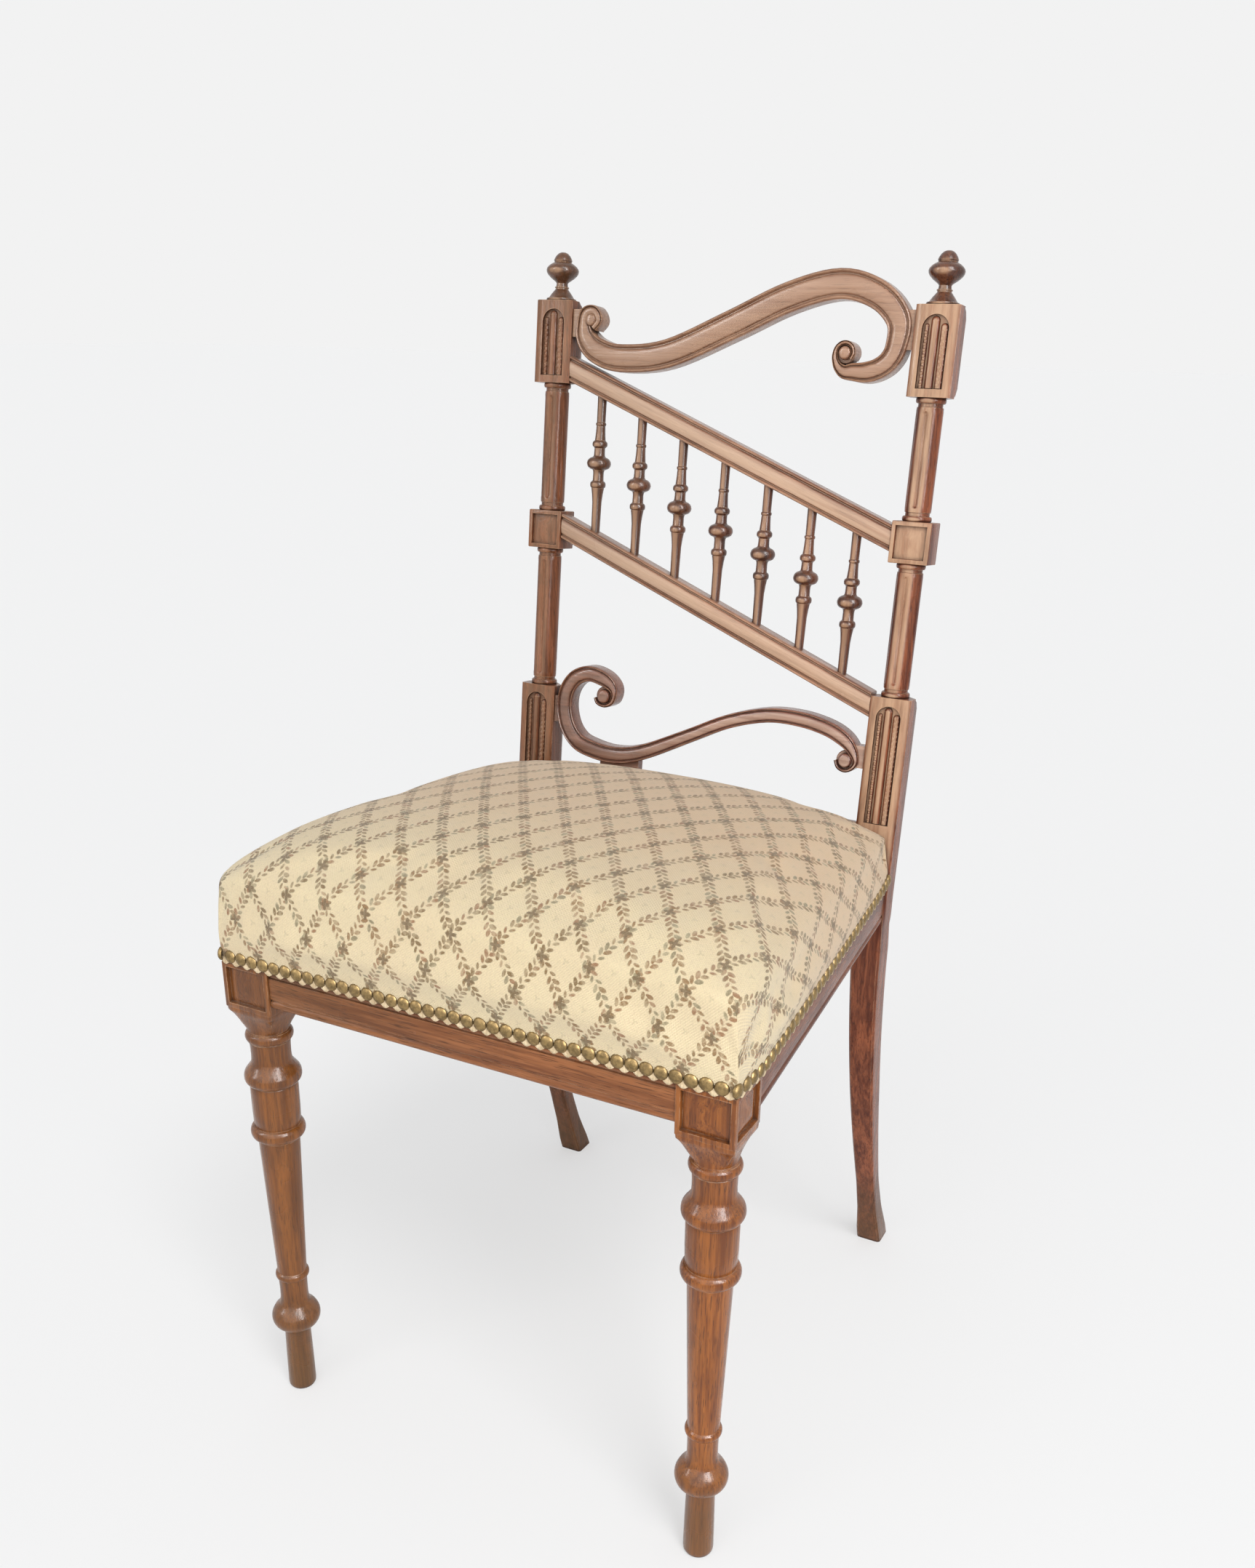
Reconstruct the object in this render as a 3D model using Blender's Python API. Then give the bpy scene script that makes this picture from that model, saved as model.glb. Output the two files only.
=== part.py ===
"""Upholstered side chair with turned front legs and an open scroll back.

Units are metres, +Z is up and the chair faces -Y. The origin is on the floor, under the middle of the
chair's bounding box. The seat frame is built square to the floor. The back leans, so all its pieces are
modelled upright on a plane through the posts' front faces and hang from one leaning empty.
"""

import math

import bmesh
import bpy
import numpy as np
from mathutils import Matrix, Vector

# Fits between pieces
FIT = 0.0003

# Seat frame
FRONT_WIDTH = 0.430
LEG_BLOCK_WIDTH = 0.044
LEG_BLOCK_DEPTH = 0.042
LEG_BLOCK_BOTTOM = 0.3745
FRAME_TOP = 0.449
SHOW_TOP = 0.413
RAIL_BOTTOM = 0.3815
RAIL_THICKNESS = 0.022
RAIL_SETBACK = 0.002
REBATE = 0.0030
SIDE_BOTTOM_RISE = 0.007
SIDE_SHOW_RISE = 0.011
SEAT_RUN = 0.3627

# Back
LEAN = math.radians(6.0)
POST_SPACING = 0.340
POST_WIDTH = 0.0350
POST_DEPTH = 0.025
MID_BLOCK_SIZE = 0.0330
SHAFT_WIDTH = 0.0214
SHAFT_GROOVE = 0.0016
LOWER_BLOCK_TOP = {"left": 0.1024, "right": 0.1327}
MID_BLOCK_CENTRE = {"left": 0.2428, "right": 0.2574}
TOP_BLOCK_BOTTOM = 0.3672
TOP_BLOCK_TOP = 0.4341
BLOCK_SHOULDER = 0.0065
FRONT_ARRIS = 0.0008
BACK_CHAMFER = 0.0030

# Rear legs, from the seat frame down to the floor
HEEL_BACK = 0.4570
HEEL_OUT = 0.1765
LEG_TOP_WIDTH = 0.0265
LEG_MID_WIDTH = 0.0230
ANKLE_WIDTH = 0.0188
LEG_SWEEP = 1.55
HEEL_WIDTH = 0.0245
ANKLE_HEIGHT = 0.085

# Rails, spindles and scrolls of the back
BACK_SETBACK = 0.0015
BACK_THICKNESS = 0.016
DIAGONAL_WIDTH = 0.0195
UPPER_RAIL_RISE = {"left": 0.0120, "right": 0.0026}
LOWER_RAIL_RISE = {"left": 0.0033, "right": -0.0080}
SPINDLE_COUNT = 7
SPINDLE_PITCH = 0.0408
BACK_RAIL_RISE = 0.021
BACK_RAIL_DROP = 0.055
BACK_RAIL_THICKNESS = 0.020
BACK_RAIL_LEDGE = 0.010

# Carved panels, finials and volutes
PANEL_MARGIN = 0.0055
PANEL_DEPTH = 0.0034
PYRAMID_GUTTER = 0.0020
ARCH_WIDTH = 0.0215
ARCH_REED = 0.0060
ARCH_DEPTH = 0.0022
FINIAL_BASE = 0.0128
VOLUTE_STAND = 0.0010
EYE_SHARE = 0.62
EYE_STAND = 0.0016
PAD_SETBACK = 0.0022
SCROLL_FOOT = (-0.107, -0.058)

# Upholstery
COVER_THICKNESS = 0.0025
COVER_PROUD = 0.001
COVER_OVERHANG = 0.006
COVER_CORNER = 0.034
CORNER_DROP = 0.009
RIM_FRONT = 0.4845
RIM_REAR = 0.4665
CROWN = 0.0445
CROWN_POWER = 2.4
STUFFING_GAP = 0.0009
STRAP_WIDTH = 0.045
STRAP_THICKNESS = 0.0015
STRAP_CROSSINGS = 3
HESSIAN_THICKNESS = 0.001
CORNER_BLOCK_LEG = 0.040
CORNER_BLOCK_HEIGHT = 0.030

# Worked out from the sizes above
SIDES = {"left": -1.0, "right": 1.0}
LEG_X = FRONT_WIDTH / 2 - LEG_BLOCK_WIDTH / 2
POST_X = POST_SPACING / 2
BLOCK_INNER = POST_X - POST_WIDTH / 2
POST_OUTER = POST_X + POST_WIDTH / 2
COVER_FRONT = LEG_BLOCK_DEPTH / 2 + COVER_PROUD + COVER_OVERHANG
CENTRE_Y = (HEEL_BACK + HEEL_WIDTH / 2 - COVER_FRONT) / 2
FRONT_AXIS = Vector((0.0, -CENTRE_Y, 0.0))
BACK_ORIGIN = FRONT_AXIS + Vector((0.0, SEAT_RUN, FRAME_TOP))
BACK_MATRIX = Matrix.Translation(BACK_ORIGIN) @ Matrix.Rotation(-LEAN, 4, "X")


def material(name, colour, roughness, metallic=0.0):
    made = bpy.data.materials.new(name)
    made.use_nodes = True
    shader = made.node_tree.nodes["Principled BSDF"]
    shader.inputs["Base Color"].default_value = (*colour, 1.0)
    shader.inputs["Roughness"].default_value = roughness
    shader.inputs["Metallic"].default_value = metallic
    return made


def new_object(name, bm, finish, parent=None, sharp=35.0):
    """A named object from a bmesh, with outward faces and hard edges past the sharp angle."""
    bmesh.ops.recalc_face_normals(bm, faces=bm.faces[:])
    mesh = bpy.data.meshes.new(name)
    bm.to_mesh(mesh)
    bm.free()
    mesh.shade_smooth()
    mesh.set_sharp_from_angle(angle=math.radians(sharp))
    made = bpy.data.objects.new(name, mesh)
    bpy.context.scene.collection.objects.link(made)
    made.data.materials.append(finish)
    made.parent = parent
    return made


def helper(obj):
    obj.hide_render = True
    obj.display_type = "WIRE"
    return obj


def boolean(obj, other, operation):
    modifier = obj.modifiers.new(f"{operation.lower()} {other.name}", "BOOLEAN")
    modifier.operation = operation
    modifier.object = helper(other)


def mix(a, b, t):
    return a + (b - a) * t


def smooth_step(t):
    t = min(max(t, 0.0), 1.0)
    return t * t * (3 - 2 * t)


def loft(rings):
    """A closed body through rings of equally many points, capped at both ends."""
    bm = bmesh.new()
    rows = [[bm.verts.new(point) for point in ring] for ring in rings]
    for row, following in zip(rows, rows[1:]):
        for i in range(len(row)):
            j = (i + 1) % len(row)
            bm.faces.new((row[i], row[j], following[j], following[i]))
    bm.faces.new(rows[0])
    bm.faces.new(rows[-1])
    return bm


def turned(profile, segments):
    """A closed body of revolution about Z from (radius, height) pairs, bottom to top."""
    angles = [2 * math.pi * i / segments for i in range(segments)]
    return loft([[(r * math.cos(a), r * math.sin(a), z) for a in angles] for r, z in profile])


def prism(outline, bottom, top):
    return loft([[(x, y, z) for x, y in outline] for z in (bottom, top)])


def section_ring(centre, width, depth, squareness, points, front_cut=0.0, back_cut=0.0, groove=0.0):
    """A level ring that runs from round (squareness 0) to rectangular (1), starting at a front corner."""
    side = points // 4
    ring = []
    for i in range(points):
        corner, step = divmod(i, side)
        along = step / side
        angle = math.radians(-135 + 90 * (corner + along))
        round_point = Vector((math.cos(angle) * width / 2, math.sin(angle) * depth / 2))
        square_point = rectangle_point(corner, step, side, width, depth, front_cut, back_cut)
        point = round_point.lerp(square_point, squareness)
        if groove and corner == 0 and step == side // 2:
            point.y += groove
        ring.append(Vector((centre[0] + point.x, centre[1] + point.y, centre[2])))
    return ring


def rectangle_point(corner, step, side, width, depth, front_cut, back_cut):
    """A point on a rectangle with cut corners: each corner takes its own point and one to either side."""
    corners = [(-1, -1), (1, -1), (1, 1), (-1, 1)]
    cuts = [front_cut, front_cut, back_cut, back_cut]
    start = Vector((corners[corner][0] * width / 2, corners[corner][1] * depth / 2))
    ahead = (corner + 1) % 4
    end = Vector((corners[ahead][0] * width / 2, corners[ahead][1] * depth / 2))
    if step == 0:
        return start - Vector((math.copysign(1, start.x), math.copysign(1, start.y))) * cuts[corner] * 0.4
    direction = (end - start).normalized()
    first, last = start + direction * cuts[corner], end - direction * cuts[ahead]
    return first.lerp(last, (step - 1) / (side - 2))


def clear_scene():
    for obj in list(bpy.data.objects):
        bpy.data.objects.remove(obj, do_unlink=True)


# Front legs
LEG_POINTS = 16


def front_leg_profile():
    """(height, radius, squareness) from the foot up to the block."""
    foot = [(0.0, 0.0095, 0), (0.0016, 0.0112, 0), (0.0050, 0.0117, 0), (0.0560, 0.0110, 0)]
    turn = np.radians([-76, -45, -15, 15, 38])
    ball = [(0.0753 + 0.0178 * math.sin(a), 0.0118 + 0.0092 * math.cos(a), 0) for a in turn]
    ball += [(0.0868, 0.0180, 0), (0.0905, 0.0155, 0), (0.0930, 0.0118, 0)]
    ankle = [(0.1085, 0.0112, 0), (0.1105, 0.0130, 0), (0.1140, 0.0136, 0), (0.1175, 0.0130, 0),
        (0.1195, 0.0120, 0)]
    taper = [(0.2420, 0.0162, 0)]
    turn = np.radians([-72, -35, 0, 35, 72])
    knee = [(0.2560 + 0.0105 * math.sin(a), 0.0168 + 0.0050 * math.cos(a), 0) for a in turn]
    vase = [(0.2685, 0.0178, 0), (0.2945, 0.0185, 0), (0.2955, 0.0176, 0), (0.2970, 0.0190, 0)]
    bulb = [(0.3010, 0.0207, 0), (0.3060, 0.0214, 0), (0.3110, 0.0210, 0), (0.3160, 0.0194, 0),
        (0.3205, 0.0164, 0)]
    neck = [(0.3240, 0.0152, 0), (0.3320, 0.0149, 0), (0.3385, 0.0155, 0)]
    collar = [(0.3395, 0.0172, 0), (0.3430, 0.0184, 0), (0.3475, 0.0183, 0), (0.3515, 0.0168, 0)]
    cove = [(0.3535, 0.0158, 0.2), (0.3590, 0.0163, 0.6), (0.3660, 0.0182, 0.85), (0.3718, 0.0205, 1)]
    return foot + ball + ankle + taper + knee + vase + bulb + neck + collar + cove


def front_leg(side, finish):
    """Turned leg with its square block, one piece of wood, and a sunk pyramid on the two show faces."""
    sign = SIDES[side]
    rings = []
    for height, radius, squareness in front_leg_profile():
        wide = mix(radius, radius * LEG_BLOCK_WIDTH / LEG_BLOCK_DEPTH, squareness)
        rings.append(section_ring((0, 0, height), 2 * wide, 2 * radius, squareness, LEG_POINTS,
            FRONT_ARRIS, FRONT_ARRIS))
    for height, inset, cut in (
        (LEG_BLOCK_BOTTOM, 0, FRONT_ARRIS), (SHOW_TOP, 0, FRONT_ARRIS),
        (SHOW_TOP, REBATE, 0.006), (FRAME_TOP, REBATE, 0.006)
    ):
        size = (LEG_BLOCK_WIDTH - 2 * inset, LEG_BLOCK_DEPTH - 2 * inset)
        rings.append(section_ring((0, 0, height), *size, 1, LEG_POINTS, cut, FRONT_ARRIS))
    leg = new_object(f"front_leg_{side}", loft(rings), finish)
    leg.location = FRONT_AXIS + Vector((sign * LEG_X, 0, 0))
    height = SHOW_TOP - LEG_BLOCK_BOTTOM - 2 * PANEL_MARGIN
    middle = (SHOW_TOP + LEG_BLOCK_BOTTOM) / 2
    front = pyramid_cutter(f"leg_front_panel_{side}", LEG_BLOCK_WIDTH - 2 * PANEL_MARGIN, height)
    front.matrix_world = Matrix.Translation(leg.location + Vector((0, -LEG_BLOCK_DEPTH / 2, middle)))
    outer = pyramid_cutter(f"leg_side_panel_{side}", LEG_BLOCK_DEPTH - 2 * PANEL_MARGIN, height)
    place = Matrix.Translation(leg.location + Vector((sign * LEG_BLOCK_WIDTH / 2, 0, middle)))
    outer.matrix_world = place @ Matrix.Rotation(sign * math.pi / 2, 4, "Z")
    boolean(leg, front, "DIFFERENCE")
    boolean(leg, outer, "DIFFERENCE")


def pyramid_cutter(name, width, height, parent=None):
    """Cuts a sunk panel that leaves a low pyramid standing in it. It faces -Y, with its mouth at y = 0."""
    rings = []
    for y, margin in ((-PANEL_DEPTH, 0), (PANEL_DEPTH, 0), (PANEL_DEPTH, PYRAMID_GUTTER)):
        w, h = width / 2 - margin, height / 2 - margin
        rings.append([Vector((x * w, y, z * h)) for x, z in ((-1, -1), (1, -1), (1, 1), (-1, 1))])
    bm = bmesh.new()
    rows = [[bm.verts.new(point) for point in ring] for ring in rings]
    peak = bm.verts.new((0, 0.0003, 0))
    bm.faces.new(rows[0])
    for i in range(4):
        j = (i + 1) % 4
        for row, following in zip(rows, rows[1:]):
            bm.faces.new((row[i], row[j], following[j], following[i]))
        bm.faces.new((rows[2][i], rows[2][j], peak))
    return helper(new_object(name, bm, bpy.data.materials["walnut"], parent, sharp=8.0))


# Rear posts
POST_POINTS = 16


def block_rings(x, bottom, top, width):
    """A block with a full front face, whose back corners die into the round shaft at each end."""
    shoulder_cut = POST_DEPTH * 0.42
    levels = [(bottom, shoulder_cut), (bottom + BLOCK_SHOULDER, BACK_CHAMFER)]
    levels += [(top - BLOCK_SHOULDER, BACK_CHAMFER), (top, shoulder_cut)]
    centre_y = POST_DEPTH / 2
    return [
        section_ring((x, centre_y, h), width, POST_DEPTH, 1, POST_POINTS, FRONT_ARRIS, cut) for h, cut in levels
    ]


def shaft_rings(x, bottom, top):
    """A round shaft with a groove down its front and a ring at each end."""
    bead, neck = SHAFT_WIDTH + 0.0024, SHAFT_WIDTH - 0.0014
    steps = [(0.0, bead), (0.0040, bead), (0.0045, neck), (0.0070, neck), (0.0085, SHAFT_WIDTH)]
    rings = []
    for rise, width in steps:
        rings.append((bottom + rise, width, 0.0))
    rings.append((bottom + 0.0115, SHAFT_WIDTH, SHAFT_GROOVE))
    rings.append((top - 0.0115, SHAFT_WIDTH, SHAFT_GROOVE))
    for rise, width in reversed(steps):
        rings.append((top - rise, width, 0.0))
    place = (x, POST_DEPTH / 2)
    return [section_ring((*place, h), w, w * 0.98, 0, POST_POINTS, groove=g) for h, w, g in rings]


def rear_leg_rings(sign):
    """The sabre leg below the seat frame, as level rings on the floor, then turned into the back's frame."""
    back = BACK_MATRIX.inverted()
    stations = [(0.0, HEEL_WIDTH), (0.012, HEEL_WIDTH * 0.99), (0.045, mix(HEEL_WIDTH, ANKLE_WIDTH, 0.75))]
    stations += [(ANKLE_HEIGHT, ANKLE_WIDTH), (0.145, mix(ANKLE_WIDTH, LEG_MID_WIDTH, 0.5))]
    stations += [(0.205, LEG_MID_WIDTH), (0.265, mix(LEG_MID_WIDTH, LEG_TOP_WIDTH, 0.4))]
    stations += [(0.320, mix(LEG_MID_WIDTH, LEG_TOP_WIDTH, 0.75)), (0.360, LEG_TOP_WIDTH)]
    rings = []
    for z, width in stations:
        level = section_ring((*rear_leg_centre(sign, z), z), width, width, 1, POST_POINTS, 0.0015, 0.0015)
        rings.append([back @ (point + FRONT_AXIS) for point in level])
    return rings


def rear_leg_centre(sign, z):
    """Where the leg's middle is at a height: it carries the lean on, and kicks back and out to the heel."""
    start = RAIL_BOTTOM
    fall = (start - z) / start
    line = post_front(z) + POST_DEPTH / 2
    kick = HEEL_BACK - post_front(0.0) - POST_DEPTH / 2
    knee_x = POST_OUTER - LEG_TOP_WIDTH / 2
    return sign * mix(knee_x, HEEL_OUT, fall), line + kick * fall**LEG_SWEEP


def post_front(z):
    """How far back the posts' front faces are at a height above the floor, from the front leg axis."""
    return SEAT_RUN + (z - FRAME_TOP) * math.tan(LEAN)


def seat_block_rings(sign, top):
    """The long lower block, from the rails' bottom edge to its top, with its back corners eased."""
    x = sign * POST_X
    centre_y = POST_DEPTH / 2
    foot = (RAIL_BOTTOM - FRAME_TOP) / math.cos(LEAN)
    narrow_x = sign * (POST_OUTER - LEG_TOP_WIDTH / 2 - 0.001)
    rings = [section_ring((narrow_x, centre_y, foot), LEG_TOP_WIDTH + 0.001, POST_DEPTH, 1, POST_POINTS,
        FRONT_ARRIS, 0.0015)]
    for h, cut in ((foot + 0.030, BACK_CHAMFER), (top - BLOCK_SHOULDER, BACK_CHAMFER),
        (top, POST_DEPTH * 0.42)):
        rings.append(section_ring((x, centre_y, h), POST_WIDTH, POST_DEPTH, 1, POST_POINTS, FRONT_ARRIS, cut))
    return rings


def rear_post(side, finish, frame):
    """Sabre leg, seat block, two shafts, mid-block and top block, all cut from one length of wood."""
    sign = SIDES[side]
    x = sign * POST_X
    low, mid = LOWER_BLOCK_TOP[side], MID_BLOCK_CENTRE[side]
    half = MID_BLOCK_SIZE / 2
    rings = rear_leg_rings(sign)
    rings += seat_block_rings(sign, low)
    rings += shaft_rings(x, low, mid - half)
    rings += block_rings(x, mid - half, mid + half, MID_BLOCK_SIZE)
    rings += shaft_rings(x, mid + half, TOP_BLOCK_BOTTOM)
    rings += block_rings(x, TOP_BLOCK_BOTTOM, TOP_BLOCK_TOP, POST_WIDTH)
    post = new_object(f"rear_post_{side}", loft(rings), finish, frame)
    panel = pyramid_cutter(f"mid_panel_{side}", MID_BLOCK_SIZE - 0.0095, MID_BLOCK_SIZE - 0.0095, frame)
    panel.location = (x, 0, mid)
    boolean(post, panel, "DIFFERENCE")
    top_panel = arched_cutter(f"top_panel_{side}", x, TOP_BLOCK_BOTTOM + 0.0045, TOP_BLOCK_TOP - 0.0070,
        frame)
    boolean(post, top_panel, "DIFFERENCE")
    low_panel = arched_cutter(f"low_panel_{side}", x, BACK_RAIL_RISE + 0.004, low - 0.0070, frame)
    boolean(post, low_panel, "DIFFERENCE")
    return post


ARCH_STEPS = 8


def arched_cutter(name, x, bottom, top, parent):
    """Cuts a round-headed sunk panel that leaves one reed standing up its middle."""
    outer, inner = ARCH_WIDTH / 2, ARCH_REED / 2
    spring = top - outer
    turn = [math.pi * i / ARCH_STEPS for i in range(ARCH_STEPS + 1)]
    outline = [(x + outer, bottom)] + [(x + outer * math.cos(a), spring + outer * math.sin(a)) for a in turn]
    outline += [(x - outer, bottom), (x - inner, bottom)]
    outline += [(x - inner * math.cos(a), spring + inner * math.sin(a)) for a in turn]
    outline += [(x + inner, bottom)]
    bm = loft([[(px, y, h) for px, h in outline] for y in (-ARCH_DEPTH, ARCH_DEPTH)])
    return helper(new_object(name, bm, bpy.data.materials["walnut"], parent))


# Finials
FINIAL_PROFILE = [
    (1.00, 0.0000), (1.00, 0.0016), (0.86, 0.0024), (0.74, 0.0050), (0.52, 0.0080), (0.42, 0.0098),
    (0.40, 0.0145), (0.56, 0.0165), (0.98, 0.0202), (1.10, 0.0240), (0.98, 0.0276), (0.64, 0.0304),
    (0.62, 0.0322), (0.46, 0.0362), (0.20, 0.0385),
]


def finial(side, finish, frame):
    """Turned finial: flared base, neck, flat ball and button."""
    profile = [(FINIAL_BASE * share, height) for share, height in FINIAL_PROFILE]
    made = new_object(f"finial_{side}", turned(profile, 14), finish, frame)
    made.location = (SIDES[side] * POST_X, POST_DEPTH / 2, TOP_BLOCK_TOP + FIT)
    return made


# Seat rails
def rail_profile(bottom, show_top):
    """(distance in from the show face, height) round a rail: quirked face, rebate above it, plain back."""
    quirk = 0.0012
    lower = [(0.0025, bottom), (0, bottom + 0.0025), (0, bottom + 0.0060), (quirk, bottom + 0.0068)]
    lower += [(quirk, bottom + 0.0080), (0, bottom + 0.0088)]
    upper = [(0, show_top - 0.0060), (quirk, show_top - 0.0054), (quirk, show_top - 0.0044),
        (0, show_top - 0.0038)]
    return lower + upper + [(0, show_top), (REBATE, show_top), (REBATE, FRAME_TOP),
        (RAIL_THICKNESS, FRAME_TOP), (RAIL_THICKNESS, bottom)]


def front_rail(finish):
    face = -LEG_BLOCK_DEPTH / 2 + RAIL_SETBACK
    end = LEG_X - LEG_BLOCK_WIDTH / 2 - FIT
    profile = rail_profile(RAIL_BOTTOM, SHOW_TOP)
    rings = [[FRONT_AXIS + Vector((x, face + inward, z)) for inward, z in profile] for x in (-end, end)]
    return new_object("front_seat_rail", loft(rings), finish)


def side_face(y):
    """How far out the chair's side is at a distance back from the front leg axis."""
    start = LEG_BLOCK_DEPTH / 2
    return mix(FRONT_WIDTH / 2, POST_OUTER, max(y - start, 0.0) / (SEAT_RUN - start))


def side_rail(side, finish):
    """Runs from the leg block to the post, square-ended, its show face rising slightly to the back."""
    sign = SIDES[side]
    rings = []
    for rise, back in ((0, False), (1, True)):
        ring = []
        bottom, show_top = RAIL_BOTTOM + rise * SIDE_BOTTOM_RISE, SHOW_TOP + rise * SIDE_SHOW_RISE
        for inward, z in rail_profile(bottom, show_top):
            y = post_front(z) - FIT if back else LEG_BLOCK_DEPTH / 2 + FIT
            ring.append(FRONT_AXIS + Vector((sign * (side_face(y) - RAIL_SETBACK - inward), y, z)))
        rings.append(ring)
    return new_object(f"side_seat_rail_{side}", loft(rings), finish)


def back_rail(finish, frame):
    """Between the posts, with a ledge in front for the webbing and a show strip above the seat behind it."""
    end = BLOCK_INNER - FIT
    front = 0.001
    profile = [(front, -BACK_RAIL_DROP), (front, 0), (BACK_RAIL_LEDGE, 0), (BACK_RAIL_LEDGE, BACK_RAIL_RISE)]
    profile += [(front + BACK_RAIL_THICKNESS, BACK_RAIL_RISE), (front + BACK_RAIL_THICKNESS, -BACK_RAIL_DROP)]
    rings = [[Vector((x, depth, h)) for depth, h in profile] for x in (-end, end)]
    return new_object("back_seat_rail", loft(rings), finish, frame)


def corner_blocks(finish):
    """Glue blocks inside the frame's corners, against the rails and clear of the legs."""
    low = RAIL_BOTTOM + SIDE_BOTTOM_RISE + 0.004
    high = low + CORNER_BLOCK_HEIGHT
    rail_back = -LEG_BLOCK_DEPTH / 2 + RAIL_SETBACK + RAIL_THICKNESS + FIT
    leg_inner, leg_back = LEG_X - LEG_BLOCK_WIDTH / 2 - FIT, LEG_BLOCK_DEPTH / 2 + FIT
    back_face = post_front(low) - FIT

    def inner(y):
        return side_face(y) - RAIL_SETBACK - RAIL_THICKNESS - FIT

    front_end = leg_back + CORNER_BLOCK_LEG
    front = [(leg_inner - CORNER_BLOCK_LEG, rail_back), (leg_inner, rail_back), (leg_inner, leg_back)]
    front += [(inner(leg_back), leg_back), (inner(front_end), front_end)]
    rear_end = back_face - CORNER_BLOCK_LEG
    rear = [(inner(rear_end), rear_end), (inner(back_face), back_face),
        (BLOCK_INNER - CORNER_BLOCK_LEG, back_face)]
    for side, sign in SIDES.items():
        for place, outline in (("front", front), ("rear", rear)):
            points = [(sign * x, FRONT_AXIS.y + y) for x, y in outline]
            new_object(f"corner_block_{place}_{side}", prism(points, low, high), finish)


# Diagonal rails and spindles
def rail_line(x, ends):
    """Height of a diagonal rail's middle at x, from its heights at the left and the right blocks."""
    return mix(ends[0], ends[1], (x + BLOCK_INNER) / (2 * BLOCK_INNER))


def upper_ends():
    return (TOP_BLOCK_BOTTOM + UPPER_RAIL_RISE["left"], MID_BLOCK_CENTRE["right"] + UPPER_RAIL_RISE["right"])


def lower_ends():
    return (MID_BLOCK_CENTRE["left"] + LOWER_RAIL_RISE["left"],
        LOWER_BLOCK_TOP["right"] + LOWER_RAIL_RISE["right"])


def rail_half_height(ends):
    slope = math.atan2(ends[0] - ends[1], 2 * BLOCK_INNER)
    return DIAGONAL_WIDTH / 2 / math.cos(slope)


def band_section():
    """(share of the half width, depth) round a moulded band: beads along its front edges, eased behind."""
    near, far = BACK_SETBACK, BACK_SETBACK + BACK_THICKNESS
    bead = 0.0012
    left = [(-1.0, far - 0.0015), (-1.0, near + 0.0014), (-0.88, near), (-0.70, near), (-0.60, near + bead)]
    right = [(-share, depth) for share, depth in reversed(left)]
    return left + right + [(0.86, far), (-0.86, far)]


def diagonal_rail(name, ends, left_block, right_block, finish, frame):
    """Straight moulded rail between two blocks, cut to the blocks' upright faces."""
    half = rail_half_height(ends)
    rings = []
    for x in (-(POST_X - left_block / 2 - FIT), POST_X - right_block / 2 - FIT):
        middle = rail_line(x, ends)
        rings.append([Vector((x, depth, middle + share * half)) for share, depth in band_section()])
    return new_object(name, loft(rings), finish, frame)


SPINDLE_PROFILE = [
    (0.0038, 0.000), (0.0042, 0.230), (0.0057, 0.335), (0.0068, 0.347), (0.0068, 0.372), (0.0050, 0.384),
    (0.0047, 0.440), (0.0052, 0.464), (0.0093, 0.482), (0.0107, 0.511), (0.0093, 0.542), (0.0052, 0.566),
    (0.0047, 0.622), (0.0066, 0.640), (0.0066, 0.665), (0.0047, 0.680), (0.0039, 0.785), (0.0044, 0.796),
    (0.0038, 0.808), (0.0040, 1.000),
]


def spindle(index, finish, frame):
    """One turned spindle, standing between the diagonal rails with its ends a fit away from them."""
    x = (index - (SPINDLE_COUNT + 1) / 2) * SPINDLE_PITCH
    stem = SPINDLE_PROFILE[0][0]
    low_ends, high_ends = lower_ends(), upper_ends()
    slope_drop = stem * (low_ends[0] - low_ends[1]) / (2 * BLOCK_INNER)
    foot = rail_line(x, low_ends) + rail_half_height(low_ends) + slope_drop + FIT
    head = rail_line(x, high_ends) - rail_half_height(high_ends) - slope_drop - FIT
    profile = [(radius, share * (head - foot)) for radius, share in SPINDLE_PROFILE]
    made = new_object(f"spindle_{index}", turned(profile, 10), finish, frame)
    made.location = (x, BACK_SETBACK + BACK_THICKNESS / 2, foot)
    return made


# Scrolls: middle-line points as (share of the half gap, rise, half width)
# and volutes as (share, rise, radius)
CREST_LINE = [
    (-0.925, 0.0480, 0.0066), (-0.912, 0.0372, 0.0090), (-0.835, 0.0272, 0.0106), (-0.680, 0.0218, 0.0112),
    (-0.390, 0.0265, 0.0115), (-0.020, 0.0495, 0.0117), (0.300, 0.0710, 0.0117), (0.580, 0.0812, 0.0114),
    (0.790, 0.0735, 0.0108), (0.912, 0.0560, 0.0100), (0.915, 0.0360, 0.0086), (0.838, 0.0200, 0.0071),
    (0.740, 0.0158, 0.0064), (0.660, 0.0190, 0.0060),
]
CREST_VOLUTES = [(-0.8800, 0.0516, 0.0135), (0.6550, 0.0246, 0.0130)]
LOWER_LINE = [
    (-0.608, 0.1045, 0.0052), (-0.640, 0.1145, 0.0060), (-0.722, 0.1180, 0.0066), (-0.835, 0.1115, 0.0076),
    (-0.912, 0.0970, 0.0080), (-0.928, 0.0800, 0.0080), (-0.880, 0.0630, 0.0082), (-0.770, 0.0510, 0.0082),
    (-0.590, 0.0468, 0.0078), (-0.390, 0.0530, 0.0071), (-0.090, 0.0745, 0.0063), (0.160, 0.0930, 0.0062),
    (0.400, 0.1035, 0.0063), (0.600, 0.1038, 0.0067), (0.780, 0.0965, 0.0067), (0.875, 0.0862, 0.0060),
    (0.902, 0.0760, 0.0048),
]
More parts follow.
